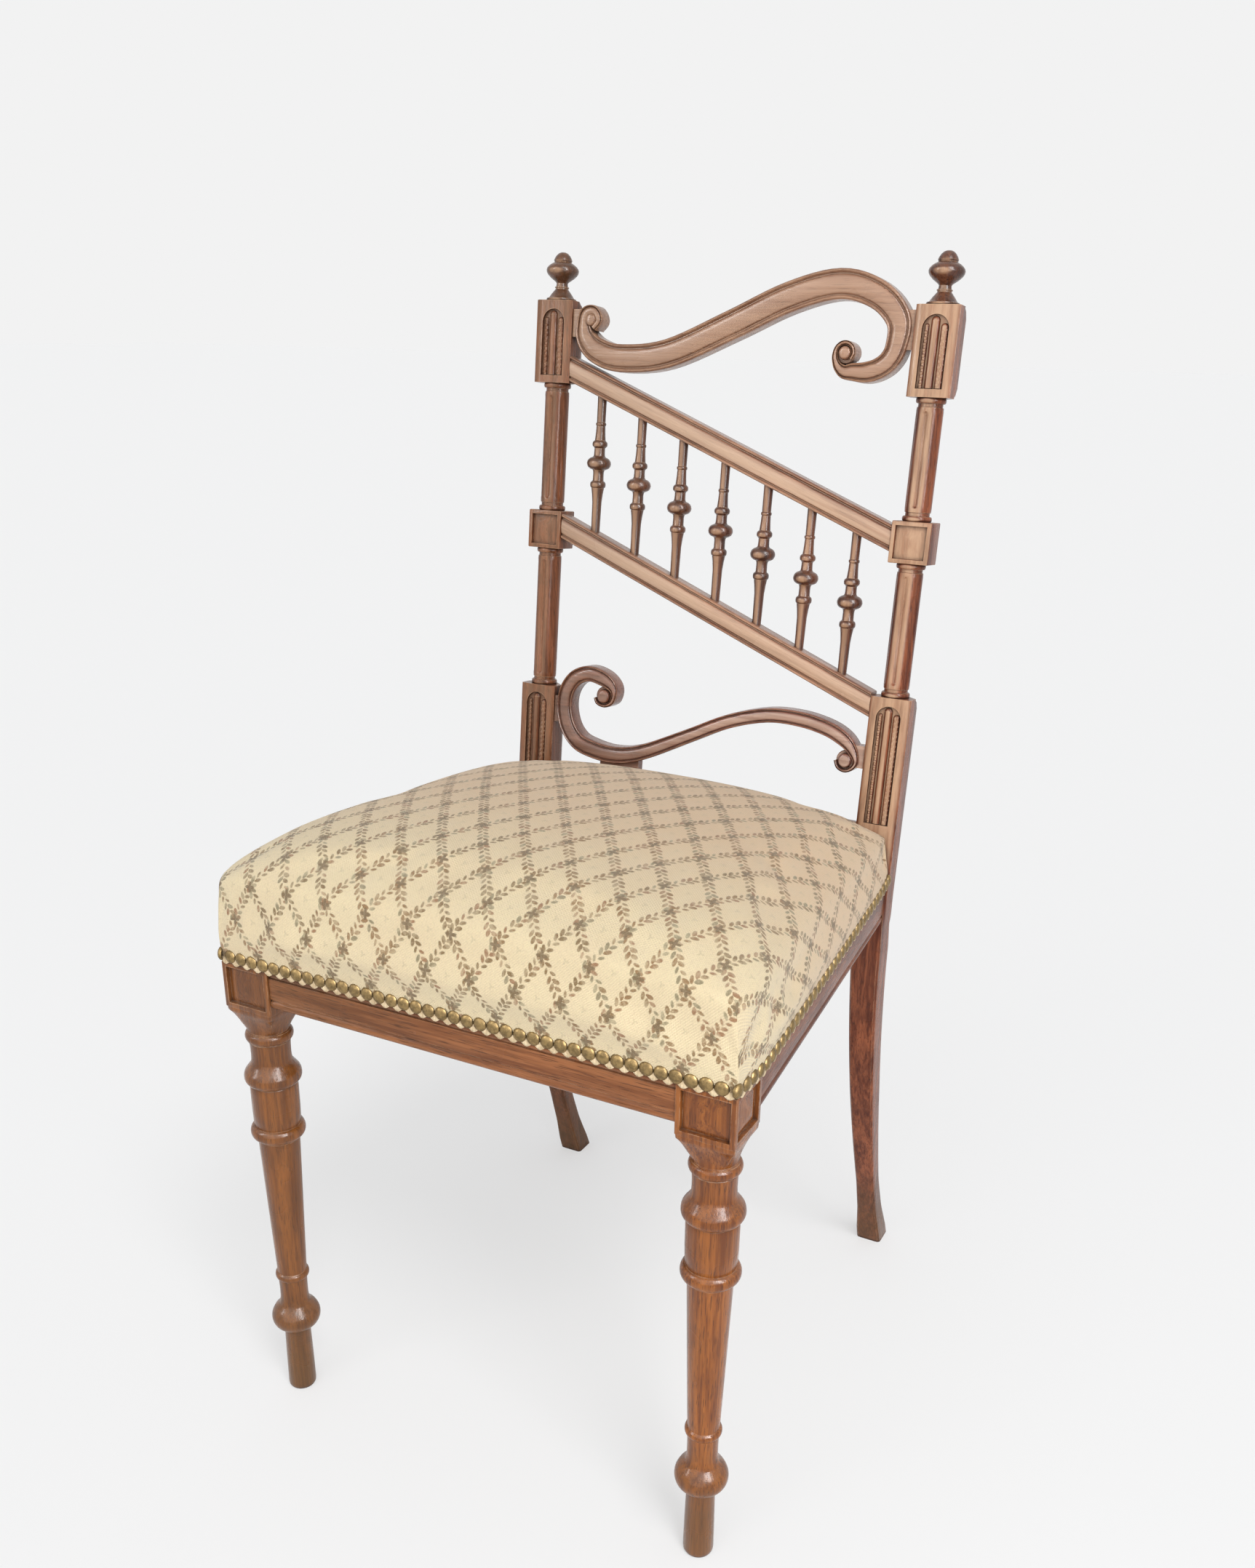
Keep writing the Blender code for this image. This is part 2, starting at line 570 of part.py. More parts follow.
LOWER_VOLUTES = [(-0.6400, 0.0990, 0.0110), (0.8810, 0.0741, 0.0086)]


def spline(points, steps):
    """A smooth line through the points (a Catmull-Rom spline), with the other values carried along it."""
    rows = [np.array(point) for point in points]
    rows = [2 * rows[0] - rows[1]] + rows + [2 * rows[-1] - rows[-2]]
    line = []
    for a, b, c, d in zip(rows, rows[1:], rows[2:], rows[3:]):
        for i in range(steps):
            t = i / steps
            bend, twist = 2 * a - 5 * b + 4 * c - d, 3 * b - a - 3 * c + d
            line.append(0.5 * (2 * b + (c - a) * t + bend * t**2 + twist * t**3))
    return line + [rows[-2]]


def scroll_band(name, points, rise, finish, frame, steps=3):
    """The swept band of a scroll: the moulded section carried along its middle line, always square to it."""
    half_gap = BLOCK_INNER - FIT
    line = spline([(share * half_gap, h + rise, half) for share, h, half in points], steps)
    rings = []
    for i, (x, h, half) in enumerate(line):
        before, after = line[max(i - 1, 0)], line[min(i + 1, len(line) - 1)]
        along = Vector((after[0] - before[0], after[1] - before[1])).normalized()
        across = Vector((-along.y, along.x))
        sideways = across * half
        rings.append([Vector((x + sideways.x * s, d, h + sideways.y * s)) for s, d in band_section()])
    return new_object(name, loft(rings), finish, frame)


def volute(name, place, rise, finish, frame):
    """The round end of a scroll with a raised eye, turned about an axis through the back."""
    share, height, radius = place
    eye = radius * EYE_SHARE
    near, far = BACK_SETBACK - VOLUTE_STAND, BACK_SETBACK + BACK_THICKNESS + VOLUTE_STAND / 2
    profile = [(radius * 0.90, -far), (radius, -far + 0.0012), (radius, -near - 0.0012),
        (radius * 0.90, -near)]
    profile += [(eye * 1.18, -near), (eye * 1.08, -near - 0.0022), (eye, -near - 0.0004),
        (eye * 0.80, -near + EYE_STAND)]
    profile += [(eye * 0.25, -near + EYE_STAND * 1.2)]
    bm = turned(profile, 20)
    place = Vector((share * (BLOCK_INNER - FIT), 0, height + rise))
    bmesh.ops.transform(bm, matrix=Matrix.Translation(place) @ Matrix.Rotation(math.pi / 2, 4, "X"),
        verts=bm.verts[:])
    return new_object(name, bm, finish, frame)


def scroll_pad(name, side, reach, bottom, top, finish, frame):
    """The small web that fills between a scroll's outer edge and the block it is fixed to."""
    end = BLOCK_INNER - FIT
    outline = [(SIDES[side] * end, bottom), (SIDES[side] * end, top), (SIDES[side] * (end - reach), top),
        (SIDES[side] * (end - reach), bottom)]
    near, far = BACK_SETBACK + PAD_SETBACK, BACK_SETBACK + BACK_THICKNESS - PAD_SETBACK
    return new_object(name, loft([[(x, d, h) for x, h in outline] for d in (near, far)]), finish, frame)


def crest_scroll(finish, frame):
    """The S-shaped top rail: a small volute at the left block, a full hook at the right one."""
    band = scroll_band("crest_scroll", CREST_LINE, TOP_BLOCK_BOTTOM, finish, frame)
    for i, place in enumerate(CREST_VOLUTES):
        boolean(band, volute(f"crest_volute_{i}", place, TOP_BLOCK_BOTTOM, finish, frame), "UNION")
    low = TOP_BLOCK_BOTTOM
    boolean(band, scroll_pad("crest_pad_left", "left", 0.012, low + 0.038, low + 0.060, finish, frame),
        "UNION")
    boolean(band, scroll_pad("crest_pad_right", "right", 0.010, low + 0.034, low + 0.063, finish, frame),
        "UNION")
    return band


def lower_scroll(finish, frame):
    """The lower rail: an open volute on the left, a small closed one at the right, a foot below."""
    band = scroll_band("lower_scroll", LOWER_LINE, 0.0, finish, frame, steps=2)
    for i, place in enumerate(LOWER_VOLUTES):
        boolean(band, volute(f"lower_volute_{i}", place, 0.0, finish, frame), "UNION")
    boolean(band, scroll_pad("lower_pad_left", "left", 0.010, 0.070, 0.094, finish, frame), "UNION")
    boolean(band, scroll_pad("lower_pad_right", "right", 0.014, 0.066, 0.086, finish, frame), "UNION")
    near, far = BACK_RAIL_LEDGE + FIT, BACK_SETBACK + BACK_THICKNESS - PAD_SETBACK
    left, right = SCROLL_FOOT
    outline = [(left, BACK_RAIL_RISE + FIT), (right, BACK_RAIL_RISE + FIT), (right - 0.006, 0.044),
        (left + 0.006, 0.044)]
    foot = new_object("scroll_foot", loft([[(x, d, h) for x, h in outline] for d in (near - 0.004,
        far)]), finish, frame)
    boolean(band, foot, "UNION")
    return band


# Upholstery
GRID = 12
SIDE_ROWS = 4


def grid_value(i):
    """Grid lines from -1 to 1, closer together at the rim where the cover turns down."""
    return math.sin(math.pi / 2 * (2 * i / GRID - 1))


def low_edge(y):
    """Height of the cover's lower edge, just above the show wood."""
    share = max(y - LEG_BLOCK_DEPTH / 2, 0.0) / (SEAT_RUN - LEG_BLOCK_DEPTH / 2)
    return SHOW_TOP + FIT + share * SIDE_SHOW_RISE


def cover_front():
    return -(LEG_BLOCK_DEPTH / 2 + COVER_PROUD)


def cover_plan(u, v, z, inset):
    """A point of the seat's outline at a height: u runs across and v from front to back, both from -1 to 1.

    The walls lean out from the nailed edge to the rim, most at the front, and the corners get rounder too.
    """
    rise = smooth_step((z - SHOW_TOP) / (rim_height(u, v, 0.0) - SHOW_TOP))
    corner = abs(u * v) ** 12 * mix(COVER_CORNER * 0.25, COVER_CORNER, rise) * (1.0 if v < 0 else 0.5)
    lean = COVER_OVERHANG * math.sin(math.pi / 2 * rise)
    front = cover_front() - lean + inset
    back = post_front(z) - FIT - inset
    y = mix(front, back, (v * (1 - corner) + 1) / 2)
    half = side_face(y) + COVER_PROUD + lean * (1 - v) / 2 - inset
    return Vector((u * (1 - corner) * half, y, z))


def rim_height(u, v, inset):
    return mix(RIM_FRONT, RIM_REAR, (v + 1) / 2) - CORNER_DROP * abs(u * v) ** 8 * (1 - v) / 2 - inset


def cover_top(u, v, inset):
    """The crowned top: high in the middle, low and soft at the four corners."""
    crown = CROWN * math.sqrt(max(1 - abs(u) ** CROWN_POWER,
        0)) * math.sqrt(max(1 - abs(v) ** CROWN_POWER, 0))
    return cover_plan(u, v, rim_height(u, v, inset) + crown, inset)


def rim_loop():
    """Grid places round the rim, in order."""
    front = [(i, 0) for i in range(GRID)]
    right = [(GRID, j) for j in range(GRID)]
    back = [(GRID - i, GRID) for i in range(GRID)]
    left = [(0, GRID - j) for j in range(GRID)]
    return front + right + back + left


def cover_sheet(bm, inset, floor, rows, upward):
    """The top and sides of the seat as one sheet. It gives back the loop of its lower edge."""
    top = {}
    for i in range(GRID + 1):
        for j in range(GRID + 1):
            top[i, j] = bm.verts.new(cover_top(grid_value(i), grid_value(j), inset) + FRONT_AXIS)
    quads = [(top[i, j], top[i + 1, j], top[i + 1, j + 1],
        top[i, j + 1]) for i in range(GRID) for j in range(GRID)]
    loop = [top[place] for place in rim_loop()]
    for row in range(1, rows + 1):
        following = []
        for i, j in rim_loop():
            u, v = grid_value(i), grid_value(j)
            rim = rim_height(u, v, inset)
            bottom = floor if floor else low_edge(cover_plan(u, v, rim, inset).y)
            following.append(bm.verts.new(cover_plan(u, v, mix(rim, bottom, row / rows), inset) + FRONT_AXIS))
        for k in range(len(loop)):
            m = (k + 1) % len(loop)
            quads.append((loop[k], following[k], following[m], loop[m]))
        loop = following
    for quad in quads:
        bm.faces.new(quad if upward else quad[::-1])
    return loop


def seat_cover(finish):
    """The cloth shell: crowned top, sides down to the show wood, open below and short at the back."""
    bm = bmesh.new()
    outer = cover_sheet(bm, 0.0, None, SIDE_ROWS, True)
    inner = cover_sheet(bm, COVER_THICKNESS, None, SIDE_ROWS, False)
    for k in range(len(outer)):
        m = (k + 1) % len(outer)
        bm.faces.new((outer[k], inner[k], inner[m], outer[m]))
    cover = new_object("seat_cover", bm, finish)
    reach = side_face(SEAT_RUN) - RAIL_SETBACK + FIT
    near, far = SEAT_RUN - 0.012, SEAT_RUN + 0.010
    outline = [(-reach, near), (reach, near), (reach, far), (-reach, far)]
    notch = prism([(x, y + FRONT_AXIS.y) for x, y in outline], SHOW_TOP - 0.01, stuffing_floor())
    boolean(cover, new_object("cover_notch", notch, finish), "DIFFERENCE")
    return cover


def strap_base():
    return FRAME_TOP + FIT


def hessian_floor():
    return strap_base() + 2 * (STRAP_THICKNESS + FIT)


def stuffing_floor():
    return hessian_floor() + HESSIAN_THICKNESS + FIT


def seat_stuffing(finish):
    """The stitched pad of horsehair inside the cover, lying on the hessian."""
    bm = bmesh.new()
    inset = COVER_THICKNESS + STUFFING_GAP
    loop = cover_sheet(bm, inset, stuffing_floor(), 1, True)
    bm.faces.new(loop)
    return new_object("seat_stuffing", bm, finish)


def hessian(finish):
    """The coarse cloth over the webbing, lying on all four rails."""
    inset = RAIL_SETBACK + REBATE + 0.002
    start, stop = -LEG_BLOCK_DEPTH / 2 + inset + 0.001, post_front(FRAME_TOP) - 2 * FIT
    far = post_front(FRAME_TOP) + BACK_RAIL_LEDGE - 0.001
    narrow = BLOCK_INNER - 0.001
    right = [(side_face(start) - inset, start), (side_face(stop) - inset, stop), (narrow, stop),
        (narrow, far)]
    outline = right + [(-x, y) for x, y in reversed(right)]
    low = hessian_floor()
    return new_object("seat_hessian", prism([(x, y + FRONT_AXIS.y) for x, y in outline], low,
        low + HESSIAN_THICKNESS), finish)


def strap_places():
    """Middle lines of the webbing: across (distance back) and front to back (distance out)."""
    depth = SEAT_RUN - LEG_BLOCK_DEPTH / 2
    across = [LEG_BLOCK_DEPTH / 2 + depth * (k + 0.5) / STRAP_CROSSINGS for k in range(STRAP_CROSSINGS)]
    spread = BLOCK_INNER - STRAP_WIDTH / 2 - 0.022
    along = [mix(-spread, spread, k / (STRAP_CROSSINGS - 1)) for k in range(STRAP_CROSSINGS)]
    return across, along


def strap_path(start, stop, crossings, over_first):
    """(distance, lift) along a strap that goes over every other crossing and lies flat elsewhere."""
    flat, slope = STRAP_WIDTH / 2 + 0.002, 0.012
    lift = STRAP_THICKNESS + FIT
    path = [(start, 0.0)]
    for k, middle in enumerate(crossings):
        if (k % 2 == 0) == over_first:
            path += [(middle - flat - slope, 0.0), (middle - flat, lift), (middle + flat, lift),
                (middle + flat + slope, 0.0)]
    return path + [(stop, 0.0)]


def strap(name, path, middle, lengthwise, finish):
    rings = []
    for distance, lift in path:
        low = strap_base() + lift
        ring = []
        for side, z in ((-1, low), (1, low), (1, low + STRAP_THICKNESS), (-1, low + STRAP_THICKNESS)):
            across = middle + side * STRAP_WIDTH / 2
            x, y = (across, distance) if lengthwise else (distance, across)
            ring.append(FRONT_AXIS + Vector((x, y, z)))
        rings.append(ring)
    return new_object(name, loft(rings), finish)


def webbing(finish):
    """Six jute straps, interlaced and tacked along the tops of the rails."""
    across, along = strap_places()
    start = -LEG_BLOCK_DEPTH / 2 + RAIL_SETBACK + REBATE + 0.001
    stop = SEAT_RUN + BACK_RAIL_LEDGE - 0.001
    for k, middle in enumerate(along):
        path = strap_path(start, stop, across, k % 2 == 0)
        strap(f"webbing_long_{k + 1}", path, middle, True, finish)
    for k, middle in enumerate(across):
        end = side_face(middle + STRAP_WIDTH / 2) - RAIL_SETBACK - REBATE - 0.001
        path = strap_path(-end, end, along, k % 2 == 1)
        strap(f"webbing_cross_{k + 1}", path, middle, False, finish)


def main():
    clear_scene()
    walnut = material("walnut", (0.29, 0.105, 0.045), 0.38)
    beech = material("beech", (0.42, 0.25, 0.13), 0.65)
    cloth = material("cover_cloth", (0.66, 0.56, 0.36), 0.85)
    jute = material("jute", (0.38, 0.27, 0.15), 0.9)
    hair = material("horsehair", (0.10, 0.07, 0.05), 0.95)

    back = bpy.data.objects.new("back_frame", None)
    bpy.context.scene.collection.objects.link(back)
    back.matrix_world = BACK_MATRIX

    for side in SIDES:
        front_leg(side, walnut)
        rear_post(side, walnut, back)
        finial(side, walnut, back)
        side_rail(side, walnut)
    front_rail(walnut)
    back_rail(walnut, back)
    corner_blocks(beech)
    diagonal_rail("upper_diagonal_rail", upper_ends(), POST_WIDTH, MID_BLOCK_SIZE, walnut, back)
    diagonal_rail("lower_diagonal_rail", lower_ends(), MID_BLOCK_SIZE, POST_WIDTH, walnut, back)
    for index in range(1, SPINDLE_COUNT + 1):
        spindle(index, walnut, back)
    crest_scroll(walnut, back)
    lower_scroll(walnut, back)
    webbing(jute)
    hessian(jute)
    seat_stuffing(hair)
    seat_cover(cloth)
    bpy.context.view_layer.update()


main()
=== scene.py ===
# %% [markdown]
# An upholstered side chair with a carved open back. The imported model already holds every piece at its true
# size and place. This lesson gives each piece its fine shape and its finish, one step at a time. Lengths are
# in metres, the chair faces -Y, and the floor is at zero height.

# %% Load the measured chair
import math

import bmesh
import bpy
import numpy as np
from mathutils import Matrix, Vector, noise


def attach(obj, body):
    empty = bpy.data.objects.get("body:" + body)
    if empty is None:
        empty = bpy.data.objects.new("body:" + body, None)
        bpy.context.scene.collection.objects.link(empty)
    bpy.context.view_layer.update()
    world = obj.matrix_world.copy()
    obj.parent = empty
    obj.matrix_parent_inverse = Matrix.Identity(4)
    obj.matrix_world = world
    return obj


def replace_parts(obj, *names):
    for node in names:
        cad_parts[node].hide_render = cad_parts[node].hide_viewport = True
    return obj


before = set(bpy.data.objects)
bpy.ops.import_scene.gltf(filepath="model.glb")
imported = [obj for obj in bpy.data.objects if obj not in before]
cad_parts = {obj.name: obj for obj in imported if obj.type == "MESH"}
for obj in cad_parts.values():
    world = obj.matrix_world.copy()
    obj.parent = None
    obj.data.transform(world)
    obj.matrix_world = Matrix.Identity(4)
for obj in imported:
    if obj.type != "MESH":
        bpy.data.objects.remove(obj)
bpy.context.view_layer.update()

# %% [markdown]
# The camera stands in front of the chair, a little to its right and well above the seat, and looks down at it.
# Its place, turn and lens were worked out from straight edges of the chair whose real places are known, so
# the chair is seen here under the photograph's own perspective.

# %% Set the camera
CAMERA_PLACE = Vector((0.51354, -0.97049, 0.86941))
YAW, PITCH, ROLL = (math.radians(angle) for angle in (27.484, 23.509, 0.906))
forward = Vector((-math.sin(YAW) * math.cos(PITCH), math.cos(YAW) * math.cos(PITCH), -math.sin(PITCH)))
level_right = Vector((math.cos(YAW), math.sin(YAW), 0.0))
level_up = level_right.cross(forward)
camera_right = math.cos(ROLL) * level_right + math.sin(ROLL) * level_up
camera_up = math.cos(ROLL) * level_up - math.sin(ROLL) * level_right
camera_data = bpy.data.cameras.new("camera")
camera_data.lens = 32.567
camera_data.sensor_width = 36.0
camera_data.shift_y = 0.0945
camera_data.clip_end = 100.0
camera = bpy.data.objects.new("camera", camera_data)
place = Matrix((camera_right, camera_up, -forward)).transposed().to_4x4()
place.translation = CAMERA_PLACE
camera.matrix_world = place
bpy.context.scene.collection.objects.link(camera)
bpy.context.scene.camera = camera
bpy.context.scene.view_settings.view_transform = "Standard"
print("camera at", tuple(CAMERA_PLACE))

# %% [markdown]
# The studio is one pale floor under a pale sky. A wide sun from the right front gives soft shadows that are
# the same all over the floor, which a nearby lamp can't do. The sky that the camera and the glossy surfaces
# see is as pale as the lit floor, so that the two meet without a line. The camera sees part of the floor's
# paleness as its own, which keeps the shadows faint. Two soft lamps only add the highlights that run down
# polished wood, and a small one brightens the seat's right front corner.

# %% Light the studio
PALE = 0.888
scene = bpy.context.scene


def link(nodes, source, out, target, socket):
    """Join an output to an input, both by name or by number."""
    nodes.id_data.links.new(source.outputs[out], target.inputs[socket])


def new_world():
    world = bpy.data.worlds.new("studio")
    world.use_nodes = True
    nodes = world.node_tree.nodes
    nodes.clear()
    seen, lit = nodes.new("ShaderNodeBackground"), nodes.new("ShaderNodeBackground")
    seen.inputs["Color"].default_value = (PALE, PALE, PALE, 1.0)
    lit.inputs["Color"].default_value = (0.97, 0.985, 1.0, 1.0)
    lit.inputs["Strength"].default_value = 0.50
    path, either = nodes.new("ShaderNodeLightPath"), nodes.new("ShaderNodeMath")
    either.operation = "MAXIMUM"
    also = nodes.new("ShaderNodeMath")
    also.operation = "MAXIMUM"
    choose, out = nodes.new("ShaderNodeMixShader"), nodes.new("ShaderNodeOutputWorld")
    link(nodes, path, "Is Camera Ray", either, 0)
    link(nodes, path, "Is Glossy Ray", either, 1)
    link(nodes, either, 0, also, 0)
    link(nodes, path, "Is Transmission Ray", also, 1)
    link(nodes, also, 0, choose, 0)
    link(nodes, lit, 0, choose, 1)
    link(nodes, seen, 0, choose, 2)
    link(nodes, choose, 0, out, "Surface")
    scene.world = world


def sun_lamp(name, towards, strength, spread):
    lamp = bpy.data.lights.new(name, "SUN")
    lamp.energy = strength
    lamp.angle = math.radians(spread)
    made = bpy.data.objects.new(name, lamp)
    made.rotation_euler = Vector(towards).to_track_quat("-Z", "Y").to_euler()
    scene.collection.objects.link(made)
    return made


def soft_lamp(name, at, towards, size, power):
    lamp = bpy.data.lights.new(name, "AREA")
    lamp.shape, lamp.size, lamp.size_y, lamp.energy = "RECTANGLE", *size, power
    made = bpy.data.objects.new(name, lamp)
    made.location = at
    made.rotation_euler = (Vector(towards) - Vector(at)).to_track_quat("-Z", "Y").to_euler()
    made.visible_diffuse = False
    scene.collection.objects.link(made)
    return made


new_world()
sun_lamp("key_sun", (-0.50, 0.38, -0.78), 1.10, 24.0)
sun_lamp("front_fill", (-0.12, 0.86, -0.48), 1.08, 70.0)
soft_lamp("corner_light", (0.85, -0.85, 0.72), (0.2, -0.22, 0.45), (0.35, 0.35), 2.7).visible_diffuse = True
soft_lamp("highlight_right", (1.6, -0.9, 1.5), (0, 0, 0.4), (0.5, 1.6), 44.0)
soft_lamp("highlight_left", (-1.5, -1.6, 1.7), (0, 0, 0.5), (0.35, 1.5), 20.0)

floor_mesh = bmesh.new()
bmesh.ops.create_grid(floor_mesh, x_segments=1, y_segments=1, size=30.0)
floor_data = bpy.data.meshes.new("floor")
floor_mesh.to_mesh(floor_data)
floor_mesh.free()
floor = bpy.data.objects.new("floor", floor_data)
scene.collection.objects.link(floor)
floor_paint = bpy.data.materials.new("pale_floor")
floor_paint.use_nodes = True
nodes = floor_paint.node_tree.nodes
paint = nodes["Principled BSDF"]
paint.inputs["Base Color"].default_value = (0.95, 0.95, 0.95, 1.0)
paint.inputs["Roughness"].default_value = 1.0
paint.inputs["Specular IOR Level"].default_value = 0.0
glow, path = nodes.new("ShaderNodeEmission"), nodes.new("ShaderNodeLightPath")
glow.inputs["Color"].default_value = (PALE, PALE, PALE, 1.0)
share, both = nodes.new("ShaderNodeMath"), nodes.new("ShaderNodeMixShader")
share.operation = "MULTIPLY"
share.inputs[1].default_value = 0.55
link(nodes, path, "Is Camera Ray", share, 0)
link(nodes, share, 0, both, 0)
link(nodes, paint, 0, both, 1)
link(nodes, glow, 0, both, 2)
link(nodes, both, 0, nodes["Material Output"], "Surface")
floor_data.materials.append(floor_paint)
print("studio lit")

# %% [markdown]
# Four effects come back in several finishes: the figure and pores of the wood, the pale rub along its edges,
# the dark polish and dust in its hollows, and the weave of the cloths. Each is a node group, built once, that
# gives out only masks and heights. The material that uses it decides on the colours.

# %% A small kit for shader groups
def new_group(name, inputs, outputs):
    """A shader node group with named inputs (name, default) and named value or colour outputs."""
    group = bpy.data.node_groups.new(name, "ShaderNodeTree")
    for title, default in inputs:
        kind = "NodeSocketVector" if title == "Vector" else "NodeSocketFloat"
        socket = group.interface.new_socket(title, in_out="INPUT", socket_type=kind)
        if kind == "NodeSocketFloat":
            socket.default_value = default
    for title in outputs:
        group.interface.new_socket(title, in_out="OUTPUT", socket_type="NodeSocketFloat")
    return group, group.nodes.new("NodeGroupInput"), group.nodes.new("NodeGroupOutput")


def noise_node(nodes, vector, scale, detail=3.0, rough=0.55, distortion=0.0):
    made = nodes.new("ShaderNodeTexNoise")
    made.inputs["Scale"].default_value = scale
    made.inputs["Detail"].default_value = detail
    made.inputs["Roughness"].default_value = rough
    made.inputs["Distortion"].default_value = distortion
    nodes.id_data.links.new(vector, made.inputs["Vector"])
    return made.outputs["Fac"]


def stretched(nodes, vector, scale, turn=(0, 0, 0)):
    made = nodes.new("ShaderNodeMapping")
    made.inputs["Scale"].default_value = scale
    made.inputs["Rotation"].default_value = turn
    nodes.id_data.links.new(vector, made.inputs["Vector"])
    return made.outputs["Vector"]


def math_node(nodes, operation, a, b=0.5, c=None, clamp=False):
    """One sum on values or sockets."""
    made = nodes.new("ShaderNodeMath")
    made.operation, made.use_clamp = operation, clamp
    for place, value in enumerate((a, b, c)):
        if isinstance(value, bpy.types.NodeSocket):
            nodes.id_data.links.new(value, made.inputs[place])
        elif value is not None:
            made.inputs[place].default_value = value
    return made.outputs[0]


def ramp(nodes, value, low, high, smooth=True):
    """0 below low and 1 above high."""
    made = nodes.new("ShaderNodeMapRange")
    made.interpolation_type = "SMOOTHSTEP" if smooth else "LINEAR"
    made.inputs["From Min"].default_value = low
    made.inputs["From Max"].default_value = high
    nodes.id_data.links.new(value, made.inputs["Value"])
    return made.outputs["Result"]


# %% Wood grain
grain, into, out = new_group("wood_grain", [("Vector", None)], ["Figure", "Pores", "Tone"])
nodes = grain.nodes
bands = noise_node(nodes, stretched(nodes, into.outputs["Vector"], (1.0, 1.0, 0.055)), 95.0, 4.0, 0.6, 0.6)
fine = noise_node(nodes, stretched(nodes, into.outputs["Vector"], (1.0, 1.0, 0.03)), 520.0, 2.0, 0.5)
pores = noise_node(nodes, stretched(nodes, into.outputs["Vector"], (1.0, 1.0, 0.045)), 1500.0, 1.0, 0.5)
tone = noise_node(nodes, into.outputs["Vector"], 14.0, 3.0, 0.6)
figure = math_node(nodes, "ADD", math_node(nodes, "MULTIPLY", bands, 0.62), math_node(nodes, "MULTIPLY", fine, 0.38))
grain.links.new(ramp(nodes, figure, 0.36, 0.64), out.inputs["Figure"])
grain.links.new(ramp(nodes, pores, 0.58, 0.70), out.inputs["Pores"])
grain.links.new(ramp(nodes, tone, 0.34, 0.66), out.inputs["Tone"])

# %% Rubbed edges and dark hollows
rub, into, out = new_group("edge_rub", [("Vector", None), ("Radius", 0.0012), ("Amount", 1.0)], ["Edge", "Hollow"])
nodes = rub.nodes
bevel, geometry = nodes.new("ShaderNodeBevel"), nodes.new("ShaderNodeNewGeometry")
bevel.samples = 4
rub.links.new(into.outputs["Radius"], bevel.inputs["Radius"])
dot = nodes.new("ShaderNodeVectorMath")
dot.operation = "DOT_PRODUCT"
rub.links.new(bevel.outputs["Normal"], dot.inputs[0])
rub.links.new(geometry.outputs["Normal"], dot.inputs[1])
bend = math_node(nodes, "SUBTRACT", 1.0, dot.outputs["Value"])
shade = nodes.new("ShaderNodeAmbientOcclusion")
shade.samples = 6
shade.inputs["Distance"].default_value = 0.006
hollow = math_node(nodes, "SUBTRACT", 1.0, shade.outputs["AO"])
patchy = noise_node(nodes, into.outputs["Vector"], 130.0, 4.0, 0.65)
edge = math_node(nodes, "MULTIPLY", ramp(nodes, bend, 0.004, 0.16), ramp(nodes, hollow, 0.62, 0.34))
edge = math_node(nodes, "MULTIPLY", edge, ramp(nodes, patchy, 0.36, 0.60))
rub.links.new(math_node(nodes, "MULTIPLY", edge, into.outputs["Amount"], clamp=True), out.inputs["Edge"])
rub.links.new(ramp(nodes, hollow, 0.18, 0.72), out.inputs["Hollow"])

# %% Plain weave
weave, into, out = new_group("plain_weave", [("Vector", None), ("Threads", 1500.0)], ["Height", "Gap"])
nodes = weave.nodes
split = nodes.new("ShaderNodeSeparateXYZ")
weave.links.new(into.outputs["Vector"], split.inputs[0])
warp = math_node(nodes, "MULTIPLY", split.outputs["X"], into.outputs["Threads"])
weft = math_node(nodes, "MULTIPLY", split.outputs["Y"], into.outputs["Threads"])
warp_wave = math_node(nodes, "ABSOLUTE", math_node(nodes, "SINE", math_node(nodes, "MULTIPLY", warp, math.pi)))
weft_wave = math_node(nodes, "ABSOLUTE", math_node(nodes, "SINE", math_node(nodes, "MULTIPLY", weft, math.pi)))
cells = math_node(nodes, "ADD", math_node(nodes, "FLOOR", warp), math_node(nodes, "FLOOR", weft))
over = math_node(nodes, "ABSOLUTE", math_node(nodes, "SUBTRACT", math_node(nodes, "MULTIPLY", math_node(nodes, "FRACT", math_node(nodes, "MULTIPLY", cells, 0.5)), 2.0), 0.0))
mixed = nodes.new("ShaderNodeMix")
weave.links.new(over, mixed.inputs["Factor"])
weave.links.new(warp_wave, mixed.inputs["A"])
weave.links.new(weft_wave, mixed.inputs["B"])
weave.links.new(mixed.outputs["Result"], out.inputs["Height"])
gap = math_node(nodes, "MULTIPLY", warp_wave, weft_wave)
weave.links.new(ramp(nodes, gap, 0.30, 0.02), out.inputs["Gap"])

# %% Settled dust
dust, into, out = new_group("settled_dust", [("Vector", None), ("Amount", 0.5)], ["Dust"])
nodes = dust.nodes
geometry, split = nodes.new("ShaderNodeNewGeometry"), nodes.new("ShaderNodeSeparateXYZ")
dust.links.new(geometry.outputs["Normal"], split.inputs[0])
cloud = noise_node(nodes, into.outputs["Vector"], 60.0, 5.0, 0.7)
lying = math_node(nodes, "MULTIPLY", ramp(nodes, split.outputs["Z"], 0.25, 0.95), ramp(nodes, cloud, 0.35, 0.75))
dust.links.new(math_node(nodes, "MULTIPLY", lying, into.outputs["Amount"], clamp=True), out.inputs["Dust"])
print("node groups:", [group.name for group in bpy.data.node_groups])
